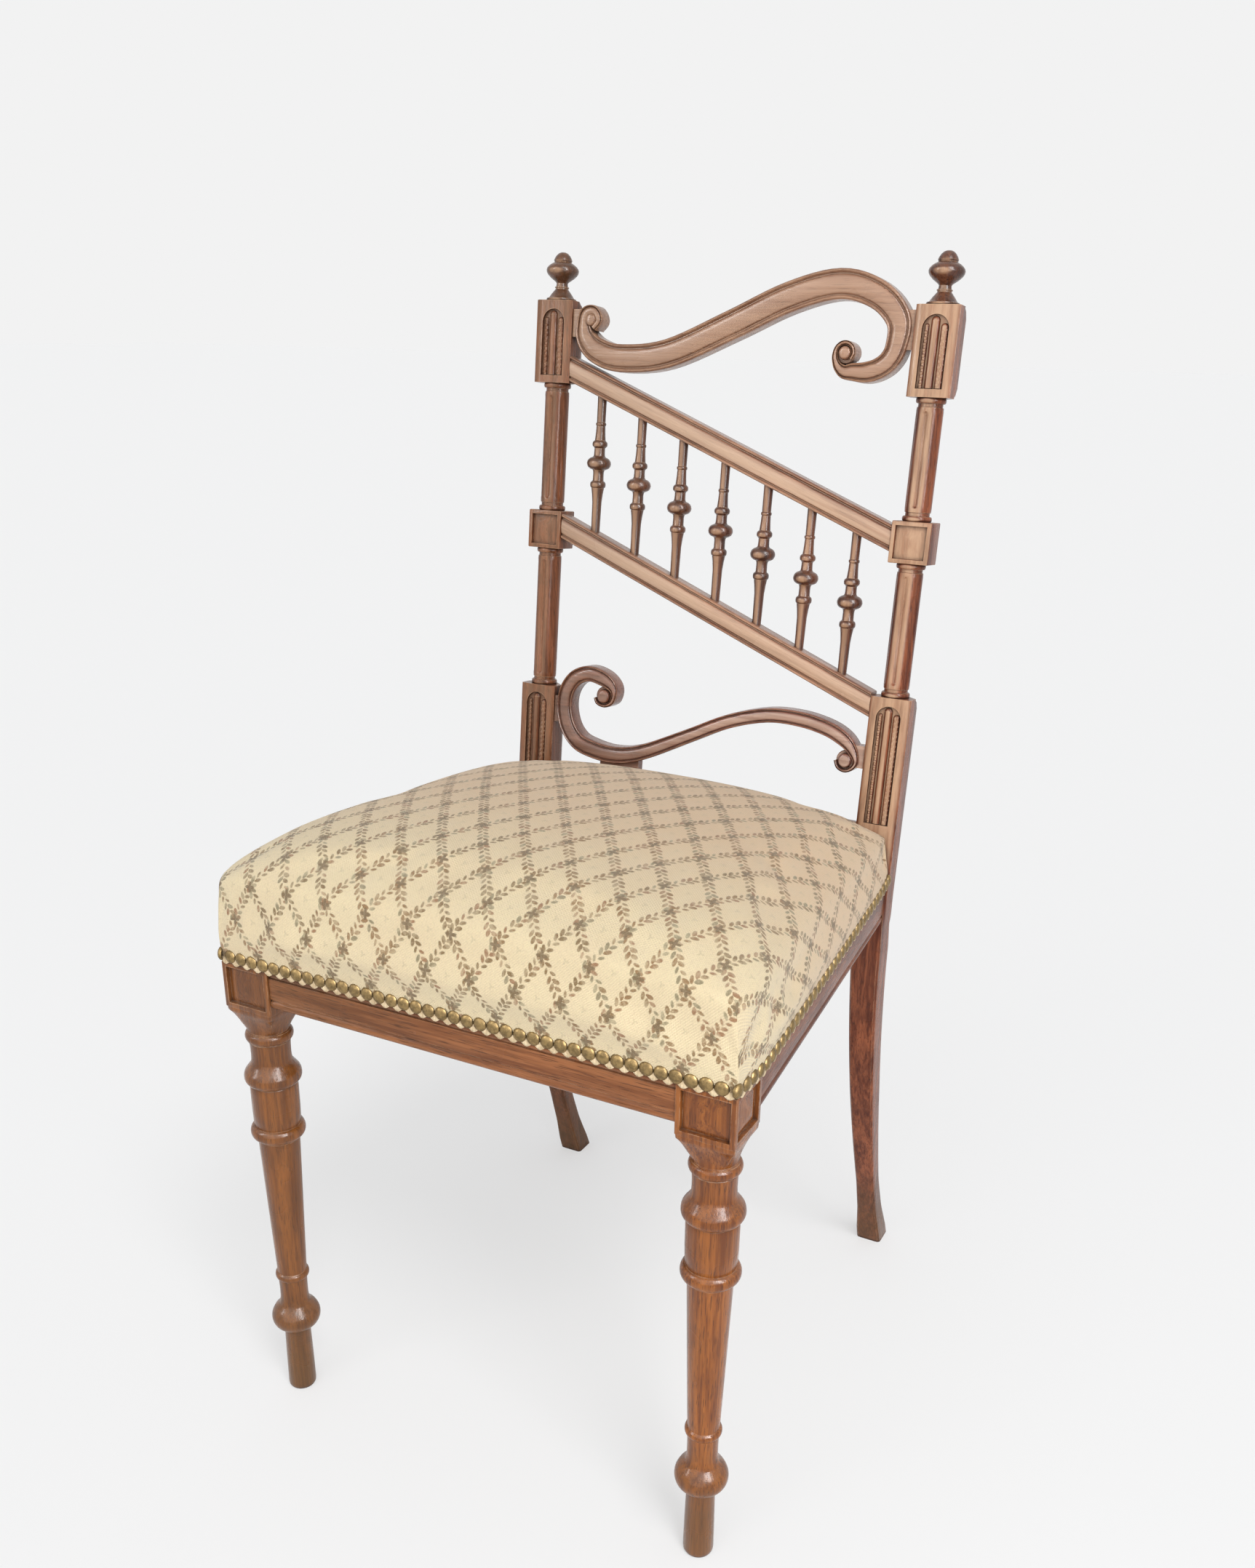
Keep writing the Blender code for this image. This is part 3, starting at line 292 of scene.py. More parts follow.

# %% [markdown]
# The show wood is a dark red-brown polished wood. Years of handling have rubbed the polish pale on the raised
# edges, while old wax stays dark in the carving. The faces that look to the front carry a painted highlight,
# and the wood is darkened towards the left by painted shade. The grain has to run along each piece as it was
# cut, so one recipe makes a finish for each direction of grain.

# %% Mix the wood finishes
def colour_mix(nodes, factor, a, b, mode="MIX"):
    """Blend two colours, each a tuple or a socket, by a factor that is a number or a socket."""
    made = nodes.new("ShaderNodeMix")
    made.data_type, made.blend_type = "RGBA", mode
    for socket, value in ((made.inputs[0], factor), (made.inputs[6], a), (made.inputs[7], b)):
        if isinstance(value, bpy.types.NodeSocket):
            nodes.id_data.links.new(value, socket)
        else:
            socket.default_value = (*value, 1.0) if isinstance(value, tuple) else value
    return made.outputs[2]


def placed_group(nodes, name, vector, **values):
    """Put a node group into a material, with its coordinates and its own values."""
    made = nodes.new("ShaderNodeGroup")
    made.node_tree = bpy.data.node_groups[name]
    nodes.id_data.links.new(vector, made.inputs["Vector"])
    for title, value in values.items():
        made.inputs[title].default_value = value
    return made


def new_material(name):
    made = bpy.data.materials.new(name)
    made.use_nodes = True
    nodes = made.node_tree.nodes
    coordinates = nodes.new("ShaderNodeTexCoord")
    return made, nodes, nodes["Principled BSDF"], coordinates


def bump(nodes, shader, height, depth, strength=1.0):
    made = nodes.new("ShaderNodeBump")
    made.inputs["Strength"].default_value = strength
    made.inputs["Distance"].default_value = depth
    nodes.id_data.links.new(height, made.inputs["Height"])
    nodes.id_data.links.new(made.outputs["Normal"], shader.inputs["Normal"])


# The second of these colours is the dark brown that the wood turns to near the floor and in the painted shade towards
# the left.
WAX, LOW_AND_SHADE_DARK, RUBBED = (0.030, 0.012, 0.007), (0.10, 0.055, 0.018), (0.60, 0.37, 0.22)


def polished_wood(name, turn, dark, light, lit_front_colour=RUBBED, faces=0.0, edges=1.0, wax=0.85, gloss=1.0, left_shade_span=(-9.0, -8.0), foot=(-9.0, -8.0)):
    """Show wood between a dark and a light colour, its grain along the piece. faces is how far front-looking
    faces get a painted highlight in the lit-front colour; it is weaker towards the left and below the foot heights."""
    made, nodes, shader, coordinates = new_material(name)
    at = coordinates.outputs["Object"]
    run = stretched(nodes, at, (1, 1, 1), turn)
    grain = placed_group(nodes, "wood_grain", run)
    rub = placed_group(nodes, "edge_rub", at, Amount=edges)
    dust = placed_group(nodes, "settled_dust", at, Amount=0.12)
    body = colour_mix(nodes, grain.outputs["Figure"], dark, light)
    body = colour_mix(nodes, math_node(nodes, "MULTIPLY", grain.outputs["Tone"], 0.26), body, tuple(value * 0.34 for value in dark))
    body = colour_mix(nodes, math_node(nodes, "MULTIPLY", grain.outputs["Pores"], 0.62), body, tuple(value * 0.2 for value in dark))
    # Painted highlight: faces that look to the front are blended in grain streaks to the lit-front colour, weaker
    # towards the left and below the foot heights.
    if faces:
        geometry, facing, place = (nodes.new(kind) for kind in ("ShaderNodeNewGeometry", "ShaderNodeSeparateXYZ", "ShaderNodeSeparateXYZ"))
        link(nodes, geometry, "Normal", facing, 0)
        nodes.id_data.links.new(at, place.inputs[0])
        front = ramp(nodes, math_node(nodes, "MULTIPLY", facing.outputs["Y"], -1.0), 0.80, 0.99)
        streaks = noise_node(nodes, stretched(nodes, run, (210.0, 210.0, 5.0)), 1.0, 4.0, 0.6)
        streaks = math_node(nodes, "MULTIPLY_ADD", ramp(nodes, streaks, 0.30, 0.66), 0.42, 0.58)
        left = math_node(nodes, "MULTIPLY_ADD", ramp(nodes, place.outputs["X"], *left_shade_span), 0.62, 0.38)
        low = ramp(nodes, place.outputs["Z"], *foot)
        share = math_node(nodes, "MULTIPLY", math_node(nodes, "MULTIPLY", front, streaks), math_node(nodes, "MULTIPLY", left, low))
        body = colour_mix(nodes, math_node(nodes, "MULTIPLY", share, faces), body, lit_front_colour)
    height = nodes.new("ShaderNodeSeparateXYZ")
    nodes.id_data.links.new(at, height.inputs[0])
    # Darker towards the floor, below about 0.17 m, broken up a little by noise.
    darker_low = ramp(nodes, math_node(nodes, "MULTIPLY_ADD", noise_node(nodes, at, 60.0, 4.0, 0.6), 0.08, height.outputs["Z"]), 0.17, 0.05)
    body = colour_mix(nodes, math_node(nodes, "MULTIPLY", darker_low, 0.55), body, LOW_AND_SHADE_DARK)
    # Painted shade: the wood darkens towards the left side of the chair, away from the light.
    body = colour_mix(nodes, math_node(nodes, "MULTIPLY", ramp(nodes, height.outputs["X"], 0.06, -0.19), 0.28), body, LOW_AND_SHADE_DARK)
    body = colour_mix(nodes, math_node(nodes, "MULTIPLY", rub.outputs["Hollow"], wax), body, WAX)
    body = colour_mix(nodes, math_node(nodes, "MULTIPLY", rub.outputs["Edge"], 0.70), body, RUBBED)
    body = colour_mix(nodes, dust.outputs["Dust"], body, (0.42, 0.34, 0.26))
    made.node_tree.links.new(body, shader.inputs["Base Color"])
    rough = math_node(nodes, "MULTIPLY_ADD", rub.outputs["Hollow"], 0.35, 0.21)
    rough = math_node(nodes, "MULTIPLY_ADD", grain.outputs["Tone"], 0.10, rough)
    rough = math_node(nodes, "MULTIPLY_ADD", dust.outputs["Dust"], 0.6, rough, clamp=True)
    made.node_tree.links.new(rough, shader.inputs["Roughness"])
    shader.inputs["Specular IOR Level"].default_value = 0.34 * gloss
    shader.inputs["Coat Weight"].default_value = 0.22 * gloss
    shader.inputs["Coat Roughness"].default_value = 0.10
    bump(nodes, shader, math_node(nodes, "MULTIPLY_ADD", grain.outputs["Pores"], -0.5, grain.outputs["Figure"]), 0.00012)
    return made


QUARTER = math.pi / 2
ACROSS, SLOPING, ALONG = (0, -QUARTER, 0), (0, -QUARTER - 0.36, 0), (QUARTER, 0, 0)
# In the finishes below, faces paints a highlight on surfaces that look to the front, and the span on the left weakens
# it there as painted shade.
honey = polished_wood("wood_legs_golden", (0, 0, 0), (0.155, 0.039, 0.005), (0.350, 0.110, 0.017))
turned_wood = polished_wood("wood_spindles_dark", (0, 0, 0), (0.055, 0.016, 0.008), (0.165, 0.056, 0.026), (0.50, 0.29, 0.17), 0.85)
post_wood = polished_wood("wood_posts_red", (0, 0, 0), (0.100, 0.022, 0.009), (0.300, 0.090, 0.038), (0.56, 0.35, 0.22), 0.95, gloss=0.55, left_shade_span=(-0.17, 0.10), foot=(0.40, 0.47))
crest_wood = polished_wood("wood_crest_faded", ACROSS, (0.24, 0.105, 0.058), (0.42, 0.225, 0.135), (0.50, 0.31, 0.205), 0.70, wax=0.65)
scroll_wood = polished_wood("wood_scroll_red", ACROSS, (0.125, 0.035, 0.020), (0.30, 0.115, 0.072), (0.58, 0.40, 0.31), 0.85, wax=0.60, left_shade_span=(-0.13, 0.03))
sloping_wood = polished_wood("wood_sloping_rails", SLOPING, (0.20, 0.075, 0.042), (0.44, 0.225, 0.135), (0.66, 0.45, 0.31), 0.85, wax=0.70)
rail_wood = polished_wood("wood_front_rail", ACROSS, (0.165, 0.052, 0.017), (0.345, 0.130, 0.048), edges=0.7, gloss=0.6)
side_wood = polished_wood("wood_side_rails", ALONG, (0.110, 0.028, 0.011), (0.260, 0.082, 0.032), edges=0.7, gloss=0.35)
print("wood finishes:", [made.name for made in bpy.data.materials if made.name.startswith("wood_")])

# %% [markdown]
# Almost every wooden piece is either turned on a lathe or has one section that changes along its length. A
# turned piece is a profile spun round its axis. The others are grown: a ring of points is extruded again and
# again, and each new ring is laid on the next section, which also lets a round shaft become a square block.

# %% Tools for turned and grown pieces
def finished(name, bm, material, sharp=35.0):
    """Make the bmesh a named piece of the chair, smooth but for edges past the sharp angle."""
    bmesh.ops.recalc_face_normals(bm, faces=bm.faces[:])
    mesh = bpy.data.meshes.new(name)
    bm.to_mesh(mesh)
    bm.free()
    mesh.shade_smooth()
    mesh.set_sharp_from_angle(angle=math.radians(sharp))
    mesh.materials.append(material)
    made = bpy.data.objects.new(name, mesh)
    scene.collection.objects.link(made)
    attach(made, "root")
    return made


def grow(rings, bm=None):
    """A closed skin through the rings: the open edge is extruded and laid on the next ring each time."""
    bm = bm or bmesh.new()
    loop = bmesh.ops.create_circle(bm, cap_ends=False, segments=len(rings[0]), radius=1.0)["verts"]
    first = edges = [edge for edge in {edge for vert in loop for edge in vert.link_edges}]
    for vert, point in zip(loop, rings[0]):
        vert.co = point
    for ring in rings[1:]:
        place = {vert: i for i, vert in enumerate(loop)}
        grown = bmesh.ops.extrude_edge_only(bm, edges=edges)["geom"]
        edges = [item for item in grown if isinstance(item, bmesh.types.BMEdge)]
        following = [None] * len(loop)
        for vert in (item for item in grown if isinstance(item, bmesh.types.BMVert)):
            old = next(edge.other_vert(vert) for edge in vert.link_edges if edge.other_vert(vert) in place)
            following[place[old]] = vert
        loop = following
        for vert, point in zip(loop, ring):
            vert.co = point
    bmesh.ops.contextual_create(bm, geom=first)
    bmesh.ops.contextual_create(bm, geom=edges)
    return bm


def turned(profile, segments, bm=None, matrix=None):
    """A closed turning about Z from (radius, height) pairs that start and end on the axis."""
    bm = bm or bmesh.new()
    verts = [bm.verts.new((radius, 0, height)) for radius, height in profile]
    edges = [bm.edges.new(pair) for pair in zip(verts, verts[1:])]
    before = set(bm.verts) - set(verts)
    bmesh.ops.spin(bm, geom=verts + edges, cent=(0, 0, 0), axis=(0, 0, 1), angle=2 * math.pi, steps=segments, use_merge=True)
    made = [vert for vert in bm.verts if vert not in before]
    bmesh.ops.remove_doubles(bm, verts=made, dist=1e-6)
    if matrix:
        bmesh.ops.transform(bm, matrix=matrix, verts=[vert for vert in bm.verts if vert not in before])
    return bm


def section(centre, width, depth, squareness=1.0, points=48, front_cut=0.0008, back_cut=0.0008):
    """A level ring from round (0) to rectangular (1), its corners cut by a little at the front and back."""
    ring = []
    for i in range(points):
        angle = 2 * math.pi * (i + 0.5) / points - 3 * math.pi / 4
        x, y = math.cos(angle), math.sin(angle)
        cut = front_cut if y < 0 else back_cut
        half_w, half_d = width / 2, depth / 2
        reach = max(abs(x) / half_w, abs(y) / half_d, (abs(x) + abs(y)) / (half_w + half_d - cut))
        square, disc = Vector((x / reach, y / reach)), Vector((x * half_w, y * half_d))
        point = disc.lerp(square, squareness)
        ring.append(Vector((centre[0] + point.x, centre[1] + point.y, centre[2])))
    return ring


def arc(middle, reach, base, swell, start, end, steps):
    """(height, radius) pairs round part of a bead or ball on a turning."""
    return [(middle + reach * math.sin(a), base + swell * math.cos(a)) for a in np.radians(np.linspace(start, end, steps))]


def smooth_line(points, steps):
    """A smooth line through the points, with every value of a point carried along it."""
    rows = [np.array(point, float) for point in points]
    rows = [2 * rows[0] - rows[1]] + rows + [2 * rows[-1] - rows[-2]]
    line = []
    for a, b, c, d in zip(rows, rows[1:], rows[2:], rows[3:]):
        for i in range(steps):
            t = i / steps
            line.append(0.5 * (2 * b + (c - a) * t + (2 * a - 5 * b + 4 * c - d) * t**2 + (3 * b - a - 3 * c + d) * t**3))
    return line + [rows[-2]]


def mix(a, b, t):
    return a + (b - a) * t


def smooth_step(t):
    t = min(max(t, 0.0), 1.0)
    return t * t * (3 - 2 * t)


SIDES = {"left": -1.0, "right": 1.0}
FRONT_AXIS = Vector((0.0, -0.220625, 0.0))
print("front leg axis at y =", FRONT_AXIS.y)

# %% [markdown]
# Each front leg is one turned length of wood with a square block left at its top: a small ball foot on a peg,
# a slim taper, and a stack of beads and hollows under the block. The block carries a sunk square with a low
# pyramid in it, on the front and on the outer side. The turning grows from round to square where it meets
# the block, and the panels are made by insetting a face and poking it.

# %% Turn the front legs
LEG_X, BLOCK_WIDTH, BLOCK_DEPTH, BLOCK_BOTTOM, SHOW_TOP, FRAME_TOP = 0.193, 0.044, 0.042, 0.3745, 0.413, 0.449


def leg_profile():
    """(height, radius, squareness) from the floor up to the block."""
    foot = [(0.0, 0.0094), (0.0008, 0.0106), (0.0022, 0.0114), (0.0050, 0.0117), (0.0300, 0.0114), (0.0600, 0.0109)]
    ball = [(0.0636, 0.0112)] + arc(0.0752, 0.0104, 0.0118, 0.0086, -74, 40, 18) + [(0.0834, 0.0176), (0.0856, 0.0153), (0.0876, 0.0135), (0.0892, 0.0124)]
    ankle = [(0.0960, 0.0116), (0.1060, 0.0116), (0.1148, 0.0119)] + arc(0.1184, 0.0031, 0.0122, 0.0018, -80, 80, 9) + [(0.1220, 0.0121)]
    taper = [(mix(0.1220, 0.2530, t), mix(0.0121, 0.0166, t)) for t in (0.2, 0.4, 0.6, 0.8, 1.0)]
    knee = [(0.2540, 0.0180)] + arc(0.2606, 0.0058, 0.0176, 0.0042, -84, 80, 13) + [(0.2672, 0.0182)]
    vase = [(0.2680, 0.0186), (0.2800, 0.0189), (0.2980, 0.0190), (0.3034, 0.0188), (0.3042, 0.0184), (0.3050, 0.0190)]
    bulb = [tuple(row) for row in smooth_line([(0.3056, 0.0206), (0.3080, 0.0221), (0.3110, 0.0226), (0.3150, 0.0218), (0.3190, 0.0190), (0.3222, 0.0168), (0.3250, 0.0158)], 3)]
    neck = [(0.3300, 0.0156), (0.3360, 0.0157), (0.3420, 0.0160)]
    collar = [(0.3430, 0.0172)] + arc(0.3472, 0.0039, 0.0164, 0.0024, -78, 78, 10) + [(0.3515, 0.0170), (0.3522, 0.0160)]
    cove = [(0.3535, 0.0157, 0.2), (0.3560, 0.0158, 0.4), (0.3590, 0.0163, 0.6), (0.3625, 0.0171, 0.75), (0.3660, 0.0182, 0.85)]
    cove += [(0.3690, 0.0194, 0.93), (0.3712, 0.0205, 1.0), (0.3735, 0.0207, 1.0), (0.3747, 0.0207, 1.0)]
    rounds = foot + ball + ankle + taper + knee + vase + bulb + neck + collar
    return [(height, radius, 0.0) for height, radius in rounds] + cove


def sunk_pyramid(bm, face, margin, depth, gutter):
    """Sink a panel into a face and leave a low pyramid standing in it."""
    bmesh.ops.inset_region(bm, faces=[face], thickness=margin, depth=0.0)
    bmesh.ops.inset_region(bm, faces=[face], thickness=0.0005, depth=-depth)
    bmesh.ops.inset_region(bm, faces=[face], thickness=gutter, depth=0.0)
    bmesh.ops.poke(bm, faces=[face], offset=depth * 1.40)


def block(bm, low, high, sunk, margin=0.0055, depth=0.0034, gutter=0.0020, arris=0.0009):
    """A square block between two corners, with a sunk pyramid on each side named by its outward direction."""
    low, high = Vector(low), Vector(high)
    shape = Matrix.Translation((low + high) / 2) @ Matrix.Diagonal((*(high - low), 1.0))
    verts = bmesh.ops.create_cube(bm, size=1.0, matrix=shape)["verts"]
    edges = list({edge for vert in verts for edge in vert.link_edges})
    faces = {face for vert in verts for face in vert.link_faces}
    bmesh.ops.recalc_face_normals(bm, faces=list(faces))
    chosen = [max(faces, key=lambda face: face.normal.dot(Vector(direction))) for direction in sunk]
    for face in chosen:
        sunk_pyramid(bm, face, margin, depth, gutter)
    bmesh.ops.bevel(bm, geom=edges, offset=arris, affect="EDGES", segments=2, profile=0.5, material=-1)


for side, sign in SIDES.items():
    axis = FRONT_AXIS + Vector((sign * LEG_X, 0, 0))
    rings = []
    for height, radius, squareness in leg_profile():
        wide = mix(radius, radius * BLOCK_WIDTH / BLOCK_DEPTH, squareness)
        rings.append(section((axis.x, axis.y, height), 2 * wide, 2 * radius, squareness, 56))
    bm = grow(rings)
    half = Vector((BLOCK_WIDTH / 2, BLOCK_DEPTH / 2, 0))
    block(bm, axis - half + Vector((0, 0, BLOCK_BOTTOM)), axis + half + Vector((0, 0, SHOW_TOP)), [(0, -1, 0), (sign, 0, 0)])
    inner = half - Vector((0.0035, 0.0035, 0))
    block(bm, axis - inner + Vector((0, 0, SHOW_TOP - 0.002)), axis + inner + Vector((0, 0, FRAME_TOP)), [], arris=0.004)
    leg = finished(f"turned_front_leg_{side}", bm, honey)
    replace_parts(leg, f"front_leg_{side}")
    print(leg.name, len(leg.data.polygons), "faces")

# %% [markdown]
# The back leans six degrees, so all of its pieces are worked out on an upright plane through the front faces
# of the posts and then turned by one matrix. The turned finials and spindles are spun profiles. A spindle
# stands between the two slanting rails, so each one is as long as the rails leave room for.

# %% Turn the finials and spindles
LEAN = math.radians(6.0)
BACK = Matrix.Translation((0.0, 0.142075, 0.449)) @ Matrix.Rotation(-LEAN, 4, "X")
POST_X, POST_DEPTH, POST_WIDTH, BLOCK_INNER, POST_OUTER = 0.170, 0.025, 0.035, 0.1525, 0.1875
NEAR, FAR = 0.0015, 0.0175
LOW_TOP, MID = {"left": 0.1024, "right": 0.1327}, {"left": 0.2428, "right": 0.2574}
TOP_LOW, TOP_HIGH = 0.3672, 0.4341
MID_SIZE, SHAFT, FIT = 0.0330, 0.0214, 0.0003
RAIL_HALF = 0.0195 / 2


def line_height(x, ends):
    return mix(ends[0], ends[1], (x + BLOCK_INNER) / (2 * BLOCK_INNER))


UPPER = (TOP_LOW + 0.0120, MID["right"] + 0.0026)
LOWER = (MID["left"] + 0.0033, LOW_TOP["right"] - 0.0080)


def half_height(ends):
    return RAIL_HALF / math.cos(math.atan2(ends[0] - ends[1], 2 * BLOCK_INNER))


finial_line = [(0.0, 0.0), (1.0, 0.0), (1.02, 0.0008), (1.0, 0.0016), (0.90, 0.0019), (0.84, 0.0026), (0.70, 0.0052), (0.52, 0.0080)]
finial_line += [(0.44, 0.0092), (0.44, 0.0100), (0.48, 0.0104), (0.48, 0.0110), (0.40, 0.0114), (0.38, 0.0138), (0.44, 0.0150), (0.58, 0.0162)]
finial_line += [(0.80, 0.0182), (0.98, 0.0204), (1.07, 0.0222), (1.10, 0.0240), (1.07, 0.0256), (0.96, 0.0274), (0.80, 0.0290), (0.64, 0.0301)]
finial_line += [(0.58, 0.0306), (0.60, 0.0314), (0.62, 0.0322), (0.56, 0.0340), (0.46, 0.0360), (0.32, 0.0377), (0.18, 0.0385), (0.0, 0.0387)]
for side, sign in SIDES.items():
    base = BACK @ Matrix.Translation((sign * POST_X, POST_DEPTH / 2, TOP_HIGH + FIT))
    bm = turned([(0.0128 * share, height) for share, height in finial_line], 40, matrix=base)
    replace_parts(finished(f"turned_finial_{side}", bm, turned_wood), f"finial_{side}")

spindle_line = [(0.0038, 0.0), (0.0040, 0.12), (0.0042, 0.230), (0.0049, 0.290), (0.0057, 0.333), (0.0064, 0.338), (0.0068, 0.346), (0.0069, 0.358)]
spindle_line += [(0.0067, 0.370), (0.0060, 0.379), (0.0051, 0.384), (0.0048, 0.392), (0.0047, 0.440), (0.0049, 0.455), (0.0054, 0.464), (0.0062, 0.467)]
spindle_line += [(0.0080, 0.473), (0.0094, 0.482), (0.0103, 0.495), (0.0107, 0.511), (0.0103, 0.528), (0.0093, 0.542), (0.0078, 0.552), (0.0060, 0.558)]
spindle_line += [(0.0053, 0.563), (0.0049, 0.572), (0.0047, 0.600), (0.0047, 0.622), (0.0054, 0.630), (0.0064, 0.637), (0.0067, 0.650), (0.0065, 0.664)]
spindle_line += [(0.0056, 0.673), (0.0047, 0.680), (0.0042, 0.730), (0.0039, 0.783), (0.0044, 0.788), (0.0046, 0.796), (0.0044, 0.804), (0.0038, 0.809)]
spindle_line += [(0.0039, 0.900), (0.0040, 1.0)]
for number in range(1, 8):
    x = (number - 4) * 0.0408
    drop = 0.0038 * (LOWER[0] - LOWER[1]) / (2 * BLOCK_INNER)
    foot = line_height(x, LOWER) + half_height(LOWER) - 0.0015
    head = line_height(x, UPPER) - half_height(UPPER) + 0.0015
    profile = [(0.0, 0.0)] + [(radius, share * (head - foot)) for radius, share in spindle_line] + [(0.0, head - foot)]
    bm = turned(profile, 28, matrix=BACK @ Matrix.Translation((x, 0.0095, foot)))
    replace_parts(finished(f"turned_spindle_{number}", bm, turned_wood), f"spindle_{number}")
print("finials and spindles turned")

# %% [markdown]
# A rear post is one length of wood from the floor to the finial: a leg that sweeps back and out to its heel,
# a long block beside the seat, a fluted shaft, a small block, another shaft and the top block. The blocks
# show a round-headed panel with three reeds in it, the outer two worked with beads and husks, or a sunk
# pyramid. The panel is cut with a Boolean, because its round head crosses the block's plain face.

# %% Carve the rear posts
def carve(piece, cutters):
    """Cut the closed cutters out of a piece, keep the result as its mesh, and clear the cutters away."""
    for cutter in cutters:
        cut = piece.modifiers.new(cutter.name, "BOOLEAN")
        cut.operation, cut.object, cut.solver = "DIFFERENCE", cutter, "EXACT"
    result = bpy.data.meshes.new_from_object(piece.evaluated_get(bpy.context.evaluated_depsgraph_get()))
    piece.modifiers.clear()
    piece.data = result
    for cutter in cutters:
        bpy.data.objects.remove(cutter, do_unlink=True)


def arch_cutters(name, x, low, high, half, depth):
    """A drum for the round head and a box for the rest, both reaching into the face by the depth."""
    spring = high - half
    made = []
    for part in ("head", "body"):
        bm = bmesh.new()
        if part == "head":
            turn_flat = Matrix.Translation((x, 0, spring)) @ Matrix.Rotation(QUARTER, 4, "X")
            bmesh.ops.create_cone(bm, cap_ends=True, segments=40, radius1=half, radius2=half, depth=2 * depth, matrix=turn_flat)
        else:
            size = Matrix.Translation((x, 0, (low + spring) / 2)) @ Matrix.Diagonal((2 * half - 0.00002, 2 * depth, spring - low, 1.0))
            bmesh.ops.create_cube(bm, size=1.0, matrix=size)
        bmesh.ops.transform(bm, matrix=BACK, verts=bm.verts[:])
        bmesh.ops.recalc_face_normals(bm, faces=bm.faces[:])
        mesh = bpy.data.meshes.new(f"{name}_{part}")
        bm.to_mesh(mesh)
        bm.free()
        made.append(bpy.data.objects.new(f"{name}_{part}", mesh))
        scene.collection.objects.link(made[-1])
    return made


def reed(bm, x, low, high, half, depth, stand):
    """A half-round bar up a panel, with a round head. Its crown stands at the given depth behind the face."""
    shape = Matrix.Translation((x, depth, (low + high - half) / 2)) @ Matrix.Diagonal((half, stand, 1.0, 1.0))
    bmesh.ops.create_cone(bm, cap_ends=True, segments=20, radius1=1.0, radius2=1.0, depth=high - half - low, matrix=shape)
    head = Matrix.Translation((x, depth, high - half)) @ Matrix.Diagonal((half, stand, half, 1.0))
    bmesh.ops.create_uvsphere(bm, u_segments=16, v_segments=10, radius=1.0, matrix=head)


def bead(bm, x, depth, height, size):
    shape = Matrix.Translation((x, depth, height)) @ Matrix.Diagonal((*size, 1.0))
    bmesh.ops.create_uvsphere(bm, u_segments=8, v_segments=5, radius=1.0, matrix=shape)


def panel_carving(bm, x, low, high):
    """Three reeds in a round-headed panel: beads down the left one, husks and dots down the right one."""
    floor_depth = 0.0026
    reed(bm, x - 0.0073, low + 0.0006, high - 0.0066, 0.0017, floor_depth, 0.0018)
    reed(bm, x - 0.0008, low + 0.0006, high - 0.0012, 0.0035, floor_depth, 0.0027)
    reed(bm, x + 0.0066, low + 0.0006, high - 0.0062, 0.0029, floor_depth, 0.0020)
    step = 0.0042
    height = low + 0.0030
    while height < high - 0.0095:
        bead(bm, x - 0.0073, floor_depth - 0.0012, height, (0.0015, 0.0012, 0.0017))
        bead(bm, x + 0.0062, floor_depth - 0.0015, height, (0.0016, 0.0010, 0.0022))
        bead(bm, x + 0.0089, floor_depth - 0.0008, height + step / 2, (0.0006, 0.0009, 0.0007))
        height += step


def leg_middle(sign, z):
    """Where the sweeping leg's middle is at a height, from the front leg axis: (out, back)."""
    fall = (0.3815 - z) / 0.3815
    front = 0.3627 + (z - 0.449) * math.tan(LEAN)
    kick = 0.4570 - (0.3627 - 0.449 * math.tan(LEAN)) - POST_DEPTH / 2
    return sign * mix(POST_OUTER - 0.0265 / 2, 0.1765, fall), front + POST_DEPTH / 2 + kick * fall**1.55


def leg_width(z):
    return float(np.interp(z, [0, 0.012, 0.045, 0.085, 0.145, 0.205, 0.265, 0.320, 0.3815], [0.0245, 0.0243, 0.0202, 0.0188, 0.0209, 0.0230, 0.0244, 0.0256, 0.0270]))


def sweeping_leg(bm, sign, top):
    """The leg under the seat and the long block beside it, as one skin."""
    back = BACK.inverted()
    rings = []
    for z in [0.0, 0.0012] + list(np.linspace(0.006, 0.360, 44)):
        ring = section((*leg_middle(sign, z), z), leg_width(z), leg_width(z), 1.0, 40, 0.0022, 0.0022)
        rings.append([back @ (point + FRONT_AXIS) for point in ring])
    foot = (0.3815 - 0.449) / math.cos(LEAN)
    x, middle = sign * POST_X, POST_DEPTH / 2
    narrow = sign * (POST_OUTER - 0.0265 / 2 - 0.001)
    rings.append(section((narrow, middle, foot), 0.0275, POST_DEPTH, 1.0, 40, 0.0010, 0.0018))
    rings.append(section((mix(narrow, x, 0.45), middle, foot + 0.010), 0.0310, POST_DEPTH, 1.0, 40, 0.0010, 0.0024))
    for height, cut in ((foot + 0.030, 0.0030), (top - 0.0085, 0.0030), (top - 0.0030, 0.0062), (top - 0.0008, 0.0095), (top, 0.0105)):
        front = 0.0008 if height < top - 0.001 else 0.0018
        rings.append(section((x, middle, height), POST_WIDTH, POST_DEPTH, 1.0, 40, front, cut))
    grow(rings, bm)


def post_block(bm, x, low, high, width):
    """A block with a crisp front, whose back corners die away at both ends."""
    ends = [(low, 0.0105), (low + 0.0008, 0.0095), (low + 0.0030, 0.0062), (low + 0.0085, 0.0030)]
    ends += [(high - 0.0085, 0.0030), (high - 0.0030, 0.0062), (high - 0.0008, 0.0095), (high, 0.0105)]
    rings = []
    for height, cut in ends:
        front = 0.0018 if min(height - low, high - height) < 0.0005 else 0.0008
        rings.append(section((x, POST_DEPTH / 2, height), width, POST_DEPTH, 1.0, 40, front, cut))
    grow(rings, bm)


